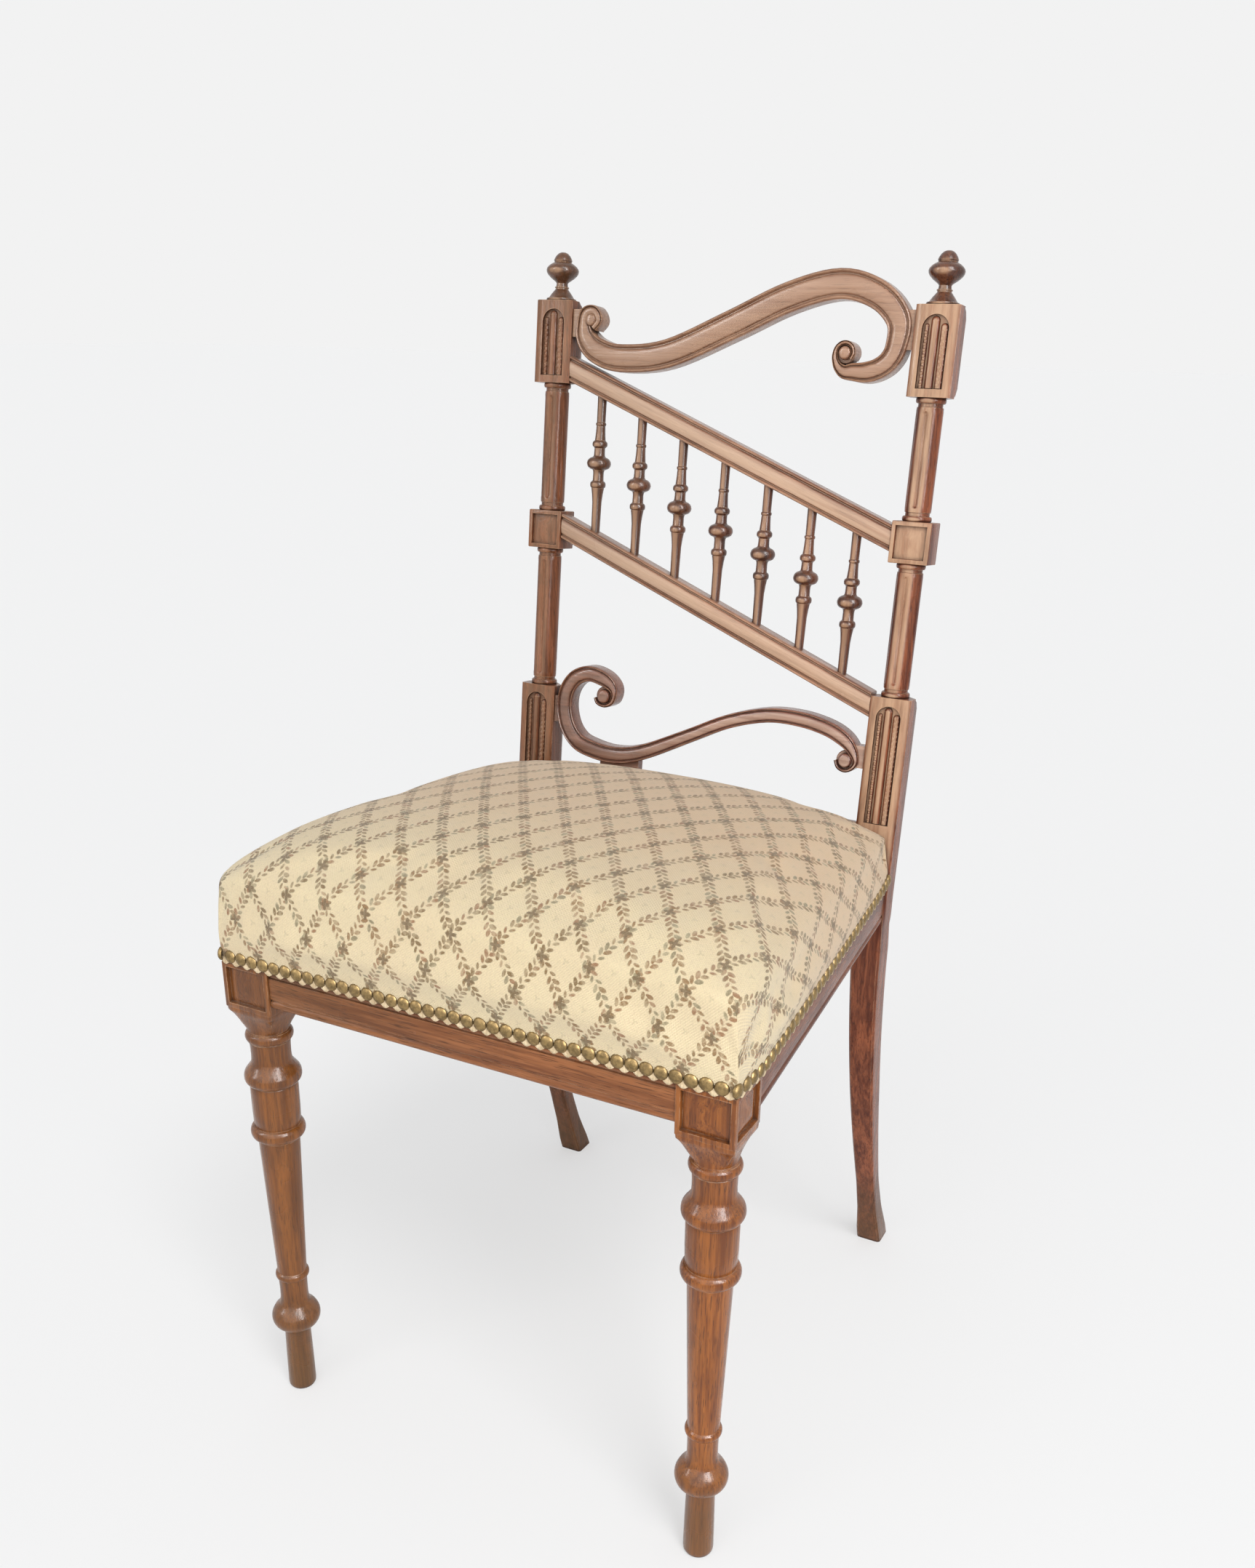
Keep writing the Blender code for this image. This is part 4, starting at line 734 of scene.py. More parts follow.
def fluted_shaft(bm, x, low, high):
    """A round shaft between two rings, with a deep flute down its front between two reeds."""
    def ring(height, width, flute):
        points = []
        for i in range(48):
            angle = 2 * math.pi * i / 48
            off = math.degrees(math.atan2(math.sin(angle + QUARTER), math.cos(angle + QUARTER)))
            cut = 0.0021 * math.exp(-((off / 12.0) ** 2)) + 0.0010 * math.exp(-(((abs(off) - 62.0) / 7.0) ** 2))
            radius = width / 2 - flute * cut
            points.append(Vector((x + radius * math.cos(angle), POST_DEPTH / 2 + radius * math.sin(angle), height)))
        return points

    neck, bead_width = SHAFT - 0.0018, SHAFT + 0.0024
    ends = [(-0.0010, neck, 0), (0.0002, bead_width - 0.0012, 0), (0.0009, bead_width - 0.0002, 0), (0.0020, bead_width, 0), (0.0031, bead_width - 0.0002, 0)]
    ends += [(0.0040, bead_width - 0.0014, 0), (0.0043, neck, 0), (0.0068, neck, 0), (0.0071, SHAFT - 0.0004, 0), (0.0100, SHAFT, 0), (0.0112, SHAFT, 0.5), (0.0128, SHAFT, 1.0)]
    rings = [ring(low + rise, width, flute) for rise, width, flute in ends]
    rings += [ring(high - rise, width, flute) for rise, width, flute in reversed(ends)]
    grow(rings, bm)


for side, sign in SIDES.items():
    x, low, mid = sign * POST_X, LOW_TOP[side], MID[side]
    half = MID_SIZE / 2
    bm = bmesh.new()
    sweeping_leg(bm, sign, low)
    post_block(bm, x, TOP_LOW, TOP_HIGH, POST_WIDTH)
    bmesh.ops.transform(bm, matrix=BACK, verts=bm.verts[:])
    post = finished(f"carved_post_{side}", bm, post_wood)
    panels = [(TOP_LOW + 0.0060, TOP_HIGH - 0.0070), (0.0250, low - 0.0070)]
    carve(post, [cutter for i, (a, b) in enumerate(panels) for cutter in arch_cutters(f"panel_{side}_{i}", x, a, b, 0.01075, 0.0026)])
    bm = bmesh.new()
    fluted_shaft(bm, x, low, mid - half)
    fluted_shaft(bm, x, mid + half, TOP_LOW)
    for a, b in panels:
        panel_carving(bm, x, a, b)
    corner = Vector((x, POST_DEPTH / 2, mid))
    reach = Vector((half, POST_DEPTH / 2, half))
    block(bm, corner - reach, corner + reach, [(0, -1, 0)], margin=0.0048, depth=0.0030, gutter=0.0016)
    bmesh.ops.transform(bm, matrix=BACK, verts=bm.verts[:])
    bmesh.ops.recalc_face_normals(bm, faces=bm.faces[:])
    bm.from_mesh(post.data)
    bm.to_mesh(post.data)
    bm.free()
    post.data.shade_smooth()
    post.data.set_sharp_from_angle(angle=math.radians(32))
    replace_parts(post, f"rear_post_{side}")
    print(post.name, len(post.data.polygons), "faces")

# %% [markdown]
# The scrolls and the slanting rails share one moulding: a bead and a quirk along both front edges with a
# soft swell between them. It is carried along a smooth line, always square to it. At a volute the line winds
# on round a raised eye and gets thinner, so the beads of the moulding draw the spiral by themselves.

# %% Shape the scrolls
def moulding(scale=1.0):
    """(share of the half width, depth) round the band: side, bead, quirk and swell in front, eased back."""
    left = [(-0.90, FAR), (-1.0, FAR - 0.0015), (-1.0, NEAR + 0.0026), (-0.985, NEAR + 0.0012), (-0.93, NEAR + 0.0003), (-0.86, NEAR)]
    left += [(-0.79, NEAR + 0.0004), (-0.74, NEAR + 0.0013), (-0.70, NEAR + 0.0020), (-0.65, NEAR + 0.0019), (-0.60, NEAR + 0.0011)]
    left += [(-0.50, NEAR + 0.0005), (-0.28, NEAR + 0.0001)]
    return left + [(0.0, NEAR - 0.0001)] + [(-share, depth) for share, depth in reversed(left)] + [(0.3, FAR), (-0.3, FAR)]


HALF_GAP = BLOCK_INNER - FIT


def band(bm, line):
    """Carry the moulding along a line of (across, height, half width), square to it."""
    rings = []
    for i, (x, height, half) in enumerate(line):
        before, after = line[max(i - 1, 0)], line[min(i + 1, len(line) - 1)]
        along = Vector((after[0] - before[0], after[1] - before[1])).normalized()
        across = Vector((-along.y, along.x))
        rings.append([Vector((x + across.x * share * half, depth, height + across.y * share * half)) for share, depth in moulding()])
    return grow(rings, bm)


def winding(centre, turns):
    """Points winding round a volute's centre, from (angle in degrees, radius, half width)."""
    return [(centre[0] + radius * math.cos(math.radians(angle)), centre[1] + radius * math.sin(math.radians(angle)), half)
            for angle, radius, half in turns]


def eye(bm, centre, radius, stand, seat):
    """A turned button at the heart of a volute, on a plain disc that closes the hole round it."""
    flat = Matrix.Translation((centre[0], 0, centre[1])) @ Matrix.Rotation(QUARTER, 4, "X")
    profile = [(0.0, -FAR + 0.0006), (seat, -FAR + 0.0006), (seat, -NEAR - 0.0042), (seat * 0.92, -NEAR - 0.0036), (radius * 1.12, -NEAR - 0.0036)]
    profile += [(radius * 1.02, -NEAR - 0.0022), (radius, -NEAR + stand * 0.2), (radius * 0.90, -NEAR + stand * 0.65), (radius * 0.66, -NEAR + stand * 0.92)]
    profile += [(radius * 0.34, -NEAR + stand * 1.02), (0.0, -NEAR + stand * 1.05)]
    turned(profile, 36, bm, flat)


def web(bm, side, reach, low, high):
    """The thin web that fills between a scroll and the block that it is fixed to."""
    end, sign = HALF_GAP, SIDES[side]
    middle = Vector((sign * (end - reach / 2), (NEAR + FAR) / 2, (low + high) / 2))
    size = (reach, FAR - NEAR - 0.0044, high - low, 1.0)
    bmesh.ops.create_cube(bm, size=1.0, matrix=Matrix.Translation(middle) @ Matrix.Diagonal(size))


crest_line = [(-0.912, 0.0372, 0.0090), (-0.835, 0.0272, 0.0106), (-0.680, 0.0218, 0.0112), (-0.390, 0.0265, 0.0115), (-0.020, 0.0495, 0.0117)]
crest_line += [(0.300, 0.0710, 0.0117), (0.580, 0.0812, 0.0114), (0.790, 0.0735, 0.0108), (0.912, 0.0560, 0.0100), (0.916, 0.0370, 0.0088)]
crest_line += [(0.886, 0.0262, 0.0084), (0.832, 0.0198, 0.0081), (0.765, 0.0168, 0.0078)]
crest_line = [(share * HALF_GAP, TOP_LOW + rise, half) for share, rise, half in crest_line]
left_eye, right_eye = (-0.8800 * HALF_GAP, TOP_LOW + 0.0516), (0.6460 * HALF_GAP, TOP_LOW + 0.0307)
start = winding(left_eye, [(-70, 0.0066, 0.0036), (0, 0.0068, 0.0040), (70, 0.0070, 0.0048), (135, 0.0075, 0.0056), (200, 0.0078, 0.0064)])
finish = [(-62, 0.0158, 0.0066), (-88, 0.0141, 0.0053), (-114, 0.0117, 0.0038), (-142, 0.0096, 0.0027), (-172, 0.0085, 0.0021)]
finish += [(angle, 0.0080 - 0.0012 * (-210 - angle) / 190, 0.0018) for angle in range(-210, -401, -38)]
bm = band(bmesh.new(), smooth_line(start + crest_line + winding(right_eye, finish), 6))
eye(bm, left_eye, 0.0047, 0.0016, 0.0078)
eye(bm, right_eye, 0.0048, 0.0018, 0.0080)
web(bm, "left", 0.012, TOP_LOW + 0.038, TOP_LOW + 0.060)
web(bm, "right", 0.010, TOP_LOW + 0.034, TOP_LOW + 0.063)
bmesh.ops.transform(bm, matrix=BACK, verts=bm.verts[:])
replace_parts(finished("carved_crest", bm, crest_wood, 40), "crest_scroll")

lower_line = [(-0.719, 0.0975, 0.0010), (-0.700, 0.0925, 0.0012), (-0.650, 0.0909, 0.0015), (-0.605, 0.0950, 0.0023), (-0.591, 0.1030, 0.0031)]
lower_line += [(-0.613, 0.1098, 0.0050), (-0.673, 0.1152, 0.0069), (-0.768, 0.1182, 0.0072), (-0.858, 0.1130, 0.0075), (-0.915, 0.1010, 0.0078)]
lower_line += [(-0.930, 0.0855, 0.0080), (-0.905, 0.0690, 0.0082), (-0.850, 0.0572, 0.0083)]
lower_line += [(-0.770, 0.0507, 0.0083), (-0.590, 0.0468, 0.0079), (-0.390, 0.0530, 0.0071), (-0.090, 0.0745, 0.0063), (0.160, 0.0930, 0.0062)]
lower_line += [(0.400, 0.1035, 0.0063), (0.600, 0.1043, 0.0066), (0.760, 0.1000, 0.0066), (0.860, 0.0935, 0.0064), (0.920, 0.0858, 0.0050)]
lower_line = [(share * HALF_GAP, rise, half) for share, rise, half in lower_line]
open_eye, button = (-0.6615 * HALF_GAP, 0.0995), (0.8920 * HALF_GAP, 0.0750)
finish = winding(button, [(5, 0.0096, 0.0026), (-40, 0.0090, 0.0019), (-85, 0.0088, 0.0016), (-130, 0.0087, 0.0014), (-175, 0.0086, 0.0012)])
bm = band(bmesh.new(), smooth_line(lower_line + finish, 5))
eye(bm, open_eye, 0.0060, 0.0016, 0.0088)
eye(bm, button, 0.0058, 0.0016, 0.0086)
web(bm, "left", 0.010, 0.070, 0.094)
web(bm, "right", 0.012, 0.070, 0.089)
foot = Matrix.Translation((-0.0825, 0.0110, 0.0330)) @ Matrix.Diagonal((0.040, 0.0085, 0.0234, 1.0))
bmesh.ops.create_cube(bm, size=1.0, matrix=foot)
bmesh.ops.transform(bm, matrix=BACK, verts=bm.verts[:])
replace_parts(finished("carved_lower_scroll", bm, scroll_wood, 40), "lower_scroll")

for name, ends, blocks in (("upper", UPPER, (POST_WIDTH, MID_SIZE)), ("lower", LOWER, (MID_SIZE, POST_WIDTH))):
    half = half_height(ends)
    rings = []
    for x in np.linspace(-(POST_X - blocks[0] / 2 - FIT), POST_X - blocks[1] / 2 - FIT, 12):
        rings.append([Vector((x, depth, line_height(x, ends) + share * half)) for share, depth in moulding()])
    bm = grow(rings)
    bmesh.ops.transform(bm, matrix=BACK, verts=bm.verts[:])
    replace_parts(finished(f"moulded_{name}_rail", bm, sloping_wood, 40), f"{name}_diagonal_rail")
print("scrolls and rails shaped")

# %% [markdown]
# The seat frame shows below the nails: a front rail between the leg blocks and two side rails that narrow
# towards the back, each with a fine bead along its lower and its upper edge. A back rail with a ledge closes
# the frame. Each rail is one section carried from end to end.

# %% Run the seat rails
RAIL_BOTTOM, RAIL_THICKNESS, SETBACK, REBATE = 0.3815, 0.022, 0.002, 0.003


def rail_section(bottom, show_top):
    """(distance in from the show face, height) round a rail: bead, quirk, plain face, quirk, bead, rebate."""
    lower = [(0.0030, bottom), (0.0012, bottom + 0.0006), (0.0003, bottom + 0.0018), (0.0000, bottom + 0.0036), (0.0003, bottom + 0.0054)]
    lower += [(0.0013, bottom + 0.0064), (0.0014, bottom + 0.0074), (0.0002, bottom + 0.0084), (0.0, bottom + 0.0096)]
    upper = [(0.0, show_top - 0.0066), (0.0002, show_top - 0.0060), (0.0013, show_top - 0.0054), (0.0013, show_top - 0.0046), (0.0003, show_top - 0.0040)]
    upper += [(0.0, show_top - 0.0026), (0.0003, show_top - 0.0010), (0.0010, show_top)]
    return lower + upper + [(REBATE, show_top), (REBATE, FRAME_TOP), (RAIL_THICKNESS, FRAME_TOP), (RAIL_THICKNESS, bottom)]


face = -BLOCK_DEPTH / 2 + SETBACK
end = LEG_X - BLOCK_WIDTH / 2 - FIT
rings = [[FRONT_AXIS + Vector((x, face + inward, z)) for inward, z in rail_section(RAIL_BOTTOM, SHOW_TOP)] for x in np.linspace(-end, end, 12)]
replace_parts(finished("moulded_front_rail", grow(rings), rail_wood, 40), "front_seat_rail")

for side, sign in SIDES.items():
    rings = []
    for share in np.linspace(0.0, 1.0, 10):
        ring = []
        for inward, z in rail_section(RAIL_BOTTOM + share * 0.007, SHOW_TOP + share * 0.011):
            back = 0.3627 + (z - FRAME_TOP) * math.tan(LEAN) - FIT
            y = mix(BLOCK_DEPTH / 2 + FIT, back, share)
            outer = mix(0.215, POST_OUTER, max(y - 0.021, 0.0) / (0.3627 - 0.021))
            ring.append(FRONT_AXIS + Vector((sign * (outer - SETBACK - inward), y, z)))
        rings.append(ring)
    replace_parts(finished(f"moulded_side_rail_{side}", grow(rings), side_wood, 40), f"side_seat_rail_{side}")

profile = [(0.001, -0.0535), (0.001, -0.001), (0.002, 0.0), (0.010, 0.0), (0.010, 0.0192), (0.0108, 0.0206), (0.0122, 0.021)]
profile += [(0.0188, 0.021), (0.0205, 0.0202), (0.021, 0.0188), (0.021, -0.0530), (0.019, -0.055), (0.003, -0.055)]
rings = [[Vector((x, depth, height)) for depth, height in profile] for x in np.linspace(-HALF_GAP, HALF_GAP, 12)]
bm = grow(rings)
bmesh.ops.transform(bm, matrix=BACK, verts=bm.verts[:])
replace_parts(finished("moulded_back_rail", bm, rail_wood, 40), "back_seat_rail")
print("rails run")

# %% [markdown]
# The seat's cloth is cream with a trellis of small leaves, an old traditional pattern. The trellis is worked
# out from two families of slanting lines: beside each line stand leaves in turn to either side, and where
# two lines cross there is a small cluster. It reads the piece's own map, which is laid along the cloth, so
# that the pattern runs over the rim without a break. Its edges are cut to the threads, as a loom would.

# %% Draw the trellis of leaves
WIDE, TALL = 0.0360, 0.0565
SPAN = math.hypot(WIDE, TALL)
LEAF_STEP = SPAN / 12


def trellis_group():
    group, into, out = new_group("leaf_trellis", [("Vector", None)], ["Leaf", "Cluster", "Chance", "Sprig"])
    nodes = group.nodes
    snap = nodes.new("ShaderNodeVectorMath")
    snap.operation = "SNAP"
    snap.inputs[1].default_value = (0.0005, 0.0005, 0.0005)
    group.links.new(into.outputs["Vector"], snap.inputs[0])
    split = nodes.new("ShaderNodeSeparateXYZ")
    group.links.new(snap.outputs[0], split.inputs[0])
    u, v = split.outputs["X"], split.outputs["Y"]
    u_share, v_share = math_node(nodes, "DIVIDE", u, WIDE), math_node(nodes, "DIVIDE", v, TALL)
    leaves, chances, offs = [], [], []
    for family in (1.0, -1.0):
        line = math_node(nodes, "MULTIPLY_ADD", v_share, family, u_share)
        off = math_node(nodes, "SUBTRACT", math_node(nodes, "FRACT", math_node(nodes, "ADD", line, 0.5)), 0.5)
        offs.append(off)
        away = math_node(nodes, "MULTIPLY", off, WIDE * TALL / SPAN)
        side = math_node(nodes, "SIGN", away)
        away = math_node(nodes, "ABSOLUTE", away)
        along = math_node(nodes, "MULTIPLY_ADD", v, -family * TALL / SPAN, math_node(nodes, "MULTIPLY", u, WIDE / SPAN))
        count = math_node(nodes, "MULTIPLY_ADD", side, 0.25, math_node(nodes, "DIVIDE", along, LEAF_STEP))
        number = math_node(nodes, "FLOOR", count)
        within = math_node(nodes, "MULTIPLY", math_node(nodes, "SUBTRACT", math_node(nodes, "FRACT", count), 0.5), LEAF_STEP)
        out_from = math_node(nodes, "SUBTRACT", away, 0.0020)
        long_way = math_node(nodes, "MULTIPLY_ADD", within, 0.74 / 0.0031, math_node(nodes, "MULTIPLY", out_from, 0.67 / 0.0031))
        short_way = math_node(nodes, "MULTIPLY_ADD", within, -0.67 / 0.00150, math_node(nodes, "MULTIPLY", out_from, 0.74 / 0.00150))
        size = math_node(nodes, "ADD", math_node(nodes, "MULTIPLY", long_way, long_way), math_node(nodes, "MULTIPLY", short_way, short_way))
        sprig = math_node(nodes, "COSINE", math_node(nodes, "MULTIPLY", along, 8 * math.pi / SPAN))
        size = math_node(nodes, "ADD", size, math_node(nodes, "MULTIPLY_ADD", sprig, 0.38, 0.20))
        leaves.append(ramp(nodes, size, 1.35, 0.75))
        white = nodes.new("ShaderNodeTexWhiteNoise")
        white.noise_dimensions = "2D"
        joined = nodes.new("ShaderNodeCombineXYZ")
        group.links.new(number, joined.inputs[0])
        group.links.new(math_node(nodes, "ADD", math_node(nodes, "ROUND", line), side), joined.inputs[1])
        group.links.new(joined.outputs[0], white.inputs["Vector"])
        chances.append(white.outputs["Value"])
    leaf = math_node(nodes, "MAXIMUM", *leaves)
    group.links.new(leaf, out.inputs["Leaf"])
    pick = nodes.new("ShaderNodeMix")
    group.links.new(math_node(nodes, "GREATER_THAN", leaves[1], leaves[0]), pick.inputs["Factor"])
    group.links.new(chances[0], pick.inputs["A"])
    group.links.new(chances[1], pick.inputs["B"])
    group.links.new(pick.outputs["Result"], out.inputs["Chance"])
    group.links.new(rosette(nodes, *offs, 0.0030, 0.0014, 4.0), out.inputs["Cluster"])
    halves = [math_node(nodes, "SUBTRACT", math_node(nodes, "FRACT", math_node(nodes, "ADD", off, 1.0)), 0.5) for off in offs]
    group.links.new(rosette(nodes, *halves, 0.0013, 0.0012, 3.0), out.inputs["Sprig"])


def rosette(nodes, off_a, off_b, radius, petal, petals):
    """A small flower where both line distances are zero."""
    du = math_node(nodes, "MULTIPLY", math_node(nodes, "ADD", off_a, off_b), WIDE / 2)
    dv = math_node(nodes, "MULTIPLY", math_node(nodes, "SUBTRACT", off_a, off_b), TALL / 2)
    far = math_node(nodes, "SQRT", math_node(nodes, "ADD", math_node(nodes, "MULTIPLY", du, du), math_node(nodes, "MULTIPLY", dv, dv)))
    turn = math_node(nodes, "ARCTAN2", dv, du)
    wave = math_node(nodes, "COSINE", math_node(nodes, "MULTIPLY", turn, petals))
    return ramp(nodes, math_node(nodes, "SUBTRACT", far, math_node(nodes, "MULTIPLY_ADD", wave, petal, radius)), 0.0005, -0.0004)


def cover_cloth_material():
    made, nodes, shader, coordinates = new_material("cover_cloth")
    flat, at = coordinates.outputs["UV"], coordinates.outputs["Object"]
    pattern = placed_group(nodes, "leaf_trellis", flat)
    threads = placed_group(nodes, "plain_weave", flat, Threads=900.0)
    dust = placed_group(nodes, "settled_dust", at, Amount=0.10)
    split = nodes.new("ShaderNodeSeparateXYZ")
    link(nodes, coordinates, "UV", split, 0)
    # Painted shade: the cream ground is darker towards the back of the seat, where less of the front light falls.
    back_shade_share = ramp(nodes, split.outputs["Y"], 0.0, 0.22)
    ground = colour_mix(nodes, back_shade_share, (0.79, 0.655, 0.41), (0.705, 0.50, 0.305))
    stain = ramp(nodes, noise_node(nodes, at, 9.0, 4.0, 0.6), 0.40, 0.72)
    ground = colour_mix(nodes, math_node(nodes, "MULTIPLY", stain, 0.28), ground, (0.70, 0.52, 0.33))
    speckle = ramp(nodes, noise_node(nodes, stretched(nodes, flat, (1.0, 0.7, 1.0)), 620.0, 1.0, 0.4), 0.46, 0.66)
    ground = colour_mix(nodes, math_node(nodes, "MULTIPLY", speckle, 0.22), ground, (0.60, 0.46, 0.29))
    region = ramp(nodes, noise_node(nodes, at, 13.0, 2.0), 0.42, 0.60)
    leaf = colour_mix(nodes, region, (0.190, 0.108, 0.026), (0.26, 0.128, 0.032))
    leaf = colour_mix(nodes, ramp(nodes, pattern.outputs["Chance"], 0.80, 0.88), leaf, (0.30, 0.135, 0.048))
    leaf = colour_mix(nodes, ramp(nodes, pattern.outputs["Chance"], 0.20, 0.12), leaf, (0.25, 0.20, 0.10))
    wear = math_node(nodes, "MULTIPLY_ADD", ramp(nodes, noise_node(nodes, at, 210.0, 3.0, 0.6), 0.36, 0.62), 0.40, 0.55)
    colour = colour_mix(nodes, math_node(nodes, "MULTIPLY", pattern.outputs["Leaf"], wear), ground, leaf)
    colour = colour_mix(nodes, math_node(nodes, "MULTIPLY", pattern.outputs["Cluster"], 0.88), colour, (0.17, 0.105, 0.038))
    colour = colour_mix(nodes, math_node(nodes, "MULTIPLY", pattern.outputs["Sprig"], 0.30), colour, (0.42, 0.34, 0.20))
    colour = colour_mix(nodes, math_node(nodes, "MULTIPLY", threads.outputs["Gap"], 0.30), colour, (0.34, 0.25, 0.15))
    colour = colour_mix(nodes, dust.outputs["Dust"], colour, (0.60, 0.54, 0.46))
    made.node_tree.links.new(colour, shader.inputs["Base Color"])
    shader.inputs["Roughness"].default_value = 0.78
    shader.inputs["Sheen Weight"].default_value = 0.25
    shader.inputs["Sheen Roughness"].default_value = 0.5
    height = math_node(nodes, "MULTIPLY_ADD", pattern.outputs["Leaf"], 0.6, threads.outputs["Height"])
    bump(nodes, shader, height, 0.00022)
    return made


trellis_group()
cover_cloth = cover_cloth_material()
print("trellis", round(WIDE * 1000), "by", round(TALL * 1000), "mm")

# %% [markdown]
# The seat is a dome of horsehair under one cloth, pulled down over the rim and nailed along the show wood. A
# grid is laid on the dome, and its border is extruded down the walls. Its map is measured along the cloth as
# it is laid. A short cloth simulation with a little air pressure then fills the cloth between its nails, and
# how far it may move is capped, so the seat keeps its true outline.

# %% Lay the seat cloth
SEAT_RUN, RIM_FRONT, RIM_REAR, CROWN = 0.3627, 0.4845, 0.4665, 0.0445


def side_face(y):
    return mix(0.215, POST_OUTER, max(y - 0.021, 0.0) / (SEAT_RUN - 0.021))


def rim_height(u, v):
    return mix(RIM_FRONT, RIM_REAR, (v + 1) / 2) - 0.009 * abs(u * v) ** 8 * (1 - v) / 2


def low_edge(y):
    return SHOW_TOP + FIT + max(y - 0.021, 0.0) / (SEAT_RUN - 0.021) * 0.011


def cloth_plan(u, v, z):
    """A point of the seat's outline at a height: u runs across and v from front to back, from -1 to 1."""
    rise = smooth_step((z - SHOW_TOP) / (rim_height(u, v) - SHOW_TOP))
    corner = abs(u * v) ** 12 * mix(0.0085, 0.034, rise) * (1.0 if v < 0 else 0.5)
    lean = 0.006 * math.sin(QUARTER * rise)
    back = SEAT_RUN + (z - FRAME_TOP) * math.tan(LEAN) - FIT
    y = mix(-0.022 - lean, back, (v * (1 - corner) + 1) / 2)
    half = side_face(y) + 0.001 + lean * (1 - v) / 2
    return Vector((u * (1 - corner) * half, y, z))


def dome(u, v):
    crown = CROWN * math.sqrt(max(1 - abs(u) ** 2.4, 0)) * math.sqrt(max(1 - abs(v) ** 2.4, 0))
    return cloth_plan(u, v, rim_height(u, v) + crown)


def lay_cloth(columns, wall_rows):
    """The cloth as a bmesh, with its map in metres along the cloth, and the points that the nails hold."""
    bm = bmesh.new()
    bmesh.ops.create_grid(bm, x_segments=columns, y_segments=columns, size=1.0)
    spread = lambda t: mix(t, math.sin(QUARTER * t), 0.6)
    where = {vert: (round(vert.co.x, 6), round(vert.co.y, 6)) for vert in bm.verts}
    steps = sorted({place[0] for place in where.values()})
    points = {(a, b): dome(spread(a), spread(b)) for a in steps for b in steps}
    across, along = {}, {}
    for b in steps:
        total = 0.0
        for previous, a in zip([None] + steps, steps):
            total += (points[a, b] - points[previous, b]).length if previous is not None else 0.0
            across[a, b] = total
        middle = across[steps[-1], b] / 2
        for a in steps:
            across[a, b] -= middle
    for a in steps:
        total = 0.0
        for previous, b in zip([None] + steps, steps):
            total += (points[a, b] - points[a, previous]).length if previous is not None else 0.0
            along[a, b] = total
    for vert, key in where.items():
        vert.co = points[key] + FRONT_AXIS
    layer = bm.loops.layers.uv.new("cloth")
    for face in bm.faces:
        for corner in face.loops:
            corner[layer].uv = (across[where[corner.vert]], along[where[corner.vert]])
    depth = {vert: 0.0 for vert in where}
    edges = [edge for edge in bm.edges if edge.is_boundary]
    held = []
    for row in range(1, wall_rows + 1):
        before = set(bm.faces)
        grown = bmesh.ops.extrude_edge_only(bm, edges=edges)["geom"]
        edges = [item for item in grown if isinstance(item, bmesh.types.BMEdge)]
        fresh = [item for item in grown if isinstance(item, bmesh.types.BMVert)]
        for vert in fresh:
            old = next(edge.other_vert(vert) for edge in vert.link_edges if edge.other_vert(vert) in where and edge.other_vert(vert) not in fresh)
            where[vert] = where[old]
            u, v = (spread(t) for t in where[vert])
            rim = rim_height(u, v)
            bottom = low_edge(cloth_plan(u, v, rim).y)
            if v > 0.999:
                bottom = mix(bottom, 0.4548, smooth_step((0.97 - abs(u)) / 0.04))
            height = mix(rim, bottom, row / wall_rows)
            vert.co = cloth_plan(u, v, height) + FRONT_AXIS
            depth[vert] = rim - height
        for face in set(bm.faces) - before:
            keys = [where[corner.vert] for corner in face.loops]
            front, rear = all(key[1] == steps[0] for key in keys), all(key[1] == steps[-1] for key in keys)
            for corner in face.loops:
                key, fall = where[corner.vert], depth[corner.vert]
                if front or rear:
                    corner[layer].uv = (across[key], along[key] + (-fall if front else fall))
                else:
                    corner[layer].uv = (across[key] + math.copysign(fall, key[0]), along[key])
        held = fresh if row == wall_rows else held
    bmesh.ops.recalc_face_normals(bm, faces=bm.faces[:])
    bm.verts.index_update()
    return bm, [vert.index for vert in held]


def fill_out(piece, held, pressure, cap, still=0.026):
    """Let air pressure fill the cloth for twenty frames, then keep the result, moved by the cap at most.
    Near the nails the movement dies away, over the still height, so the edge stays flat under them."""
    laid = [vert.co.copy() for vert in piece.data.vertices]
    group = piece.vertex_groups.new(name="nailed")
    group.add(held, 1.0, "REPLACE")
    cloth = piece.modifiers.new("cloth", "CLOTH")
    cloth.settings.quality = 5
    cloth.settings.mass = 0.25
    cloth.settings.tension_stiffness = cloth.settings.compression_stiffness = 18.0
    cloth.settings.bending_stiffness = 1.2
    cloth.settings.use_pressure = True
    cloth.settings.uniform_pressure_force = pressure
    cloth.settings.vertex_group_mass = "nailed"
    cloth.settings.effector_weights.gravity = 0.0
    cloth.collision_settings.use_collision = False
    cloth.point_cache.frame_start, cloth.point_cache.frame_end = 1, 20
    for number in range(1, 21):
        scene.frame_set(number)
    result = piece.evaluated_get(bpy.context.evaluated_depsgraph_get()).to_mesh()
    moved = [vert.co.copy() for vert in result.vertices]
    piece.modifiers.clear()
    scene.frame_set(1)
    lowest = min(point.z for point in laid)
    for vert, start, end in zip(piece.data.vertices, laid, moved):
        step = end - start
        free = smooth_step((start.z - lowest - 0.012) / still)
        vert.co = start + step * free * min(1.0, cap / max(step.length, 1e-9))
    piece.vertex_groups.clear()


bm, held = lay_cloth(72, 12)
cover = finished("seat_cloth", bm, cover_cloth, 60)
fill_out(cover, held, 4.0, 0.005)
wall = cover.modifiers.new("thickness", "SOLIDIFY")
wall.thickness, wall.offset = 0.0016, -1.0
finer = cover.modifiers.new("finer", "SUBSURF")
finer.levels = finer.render_levels = 1
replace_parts(cover, "seat_cover")
print("seat cloth", len(cover.data.polygons), "faces")
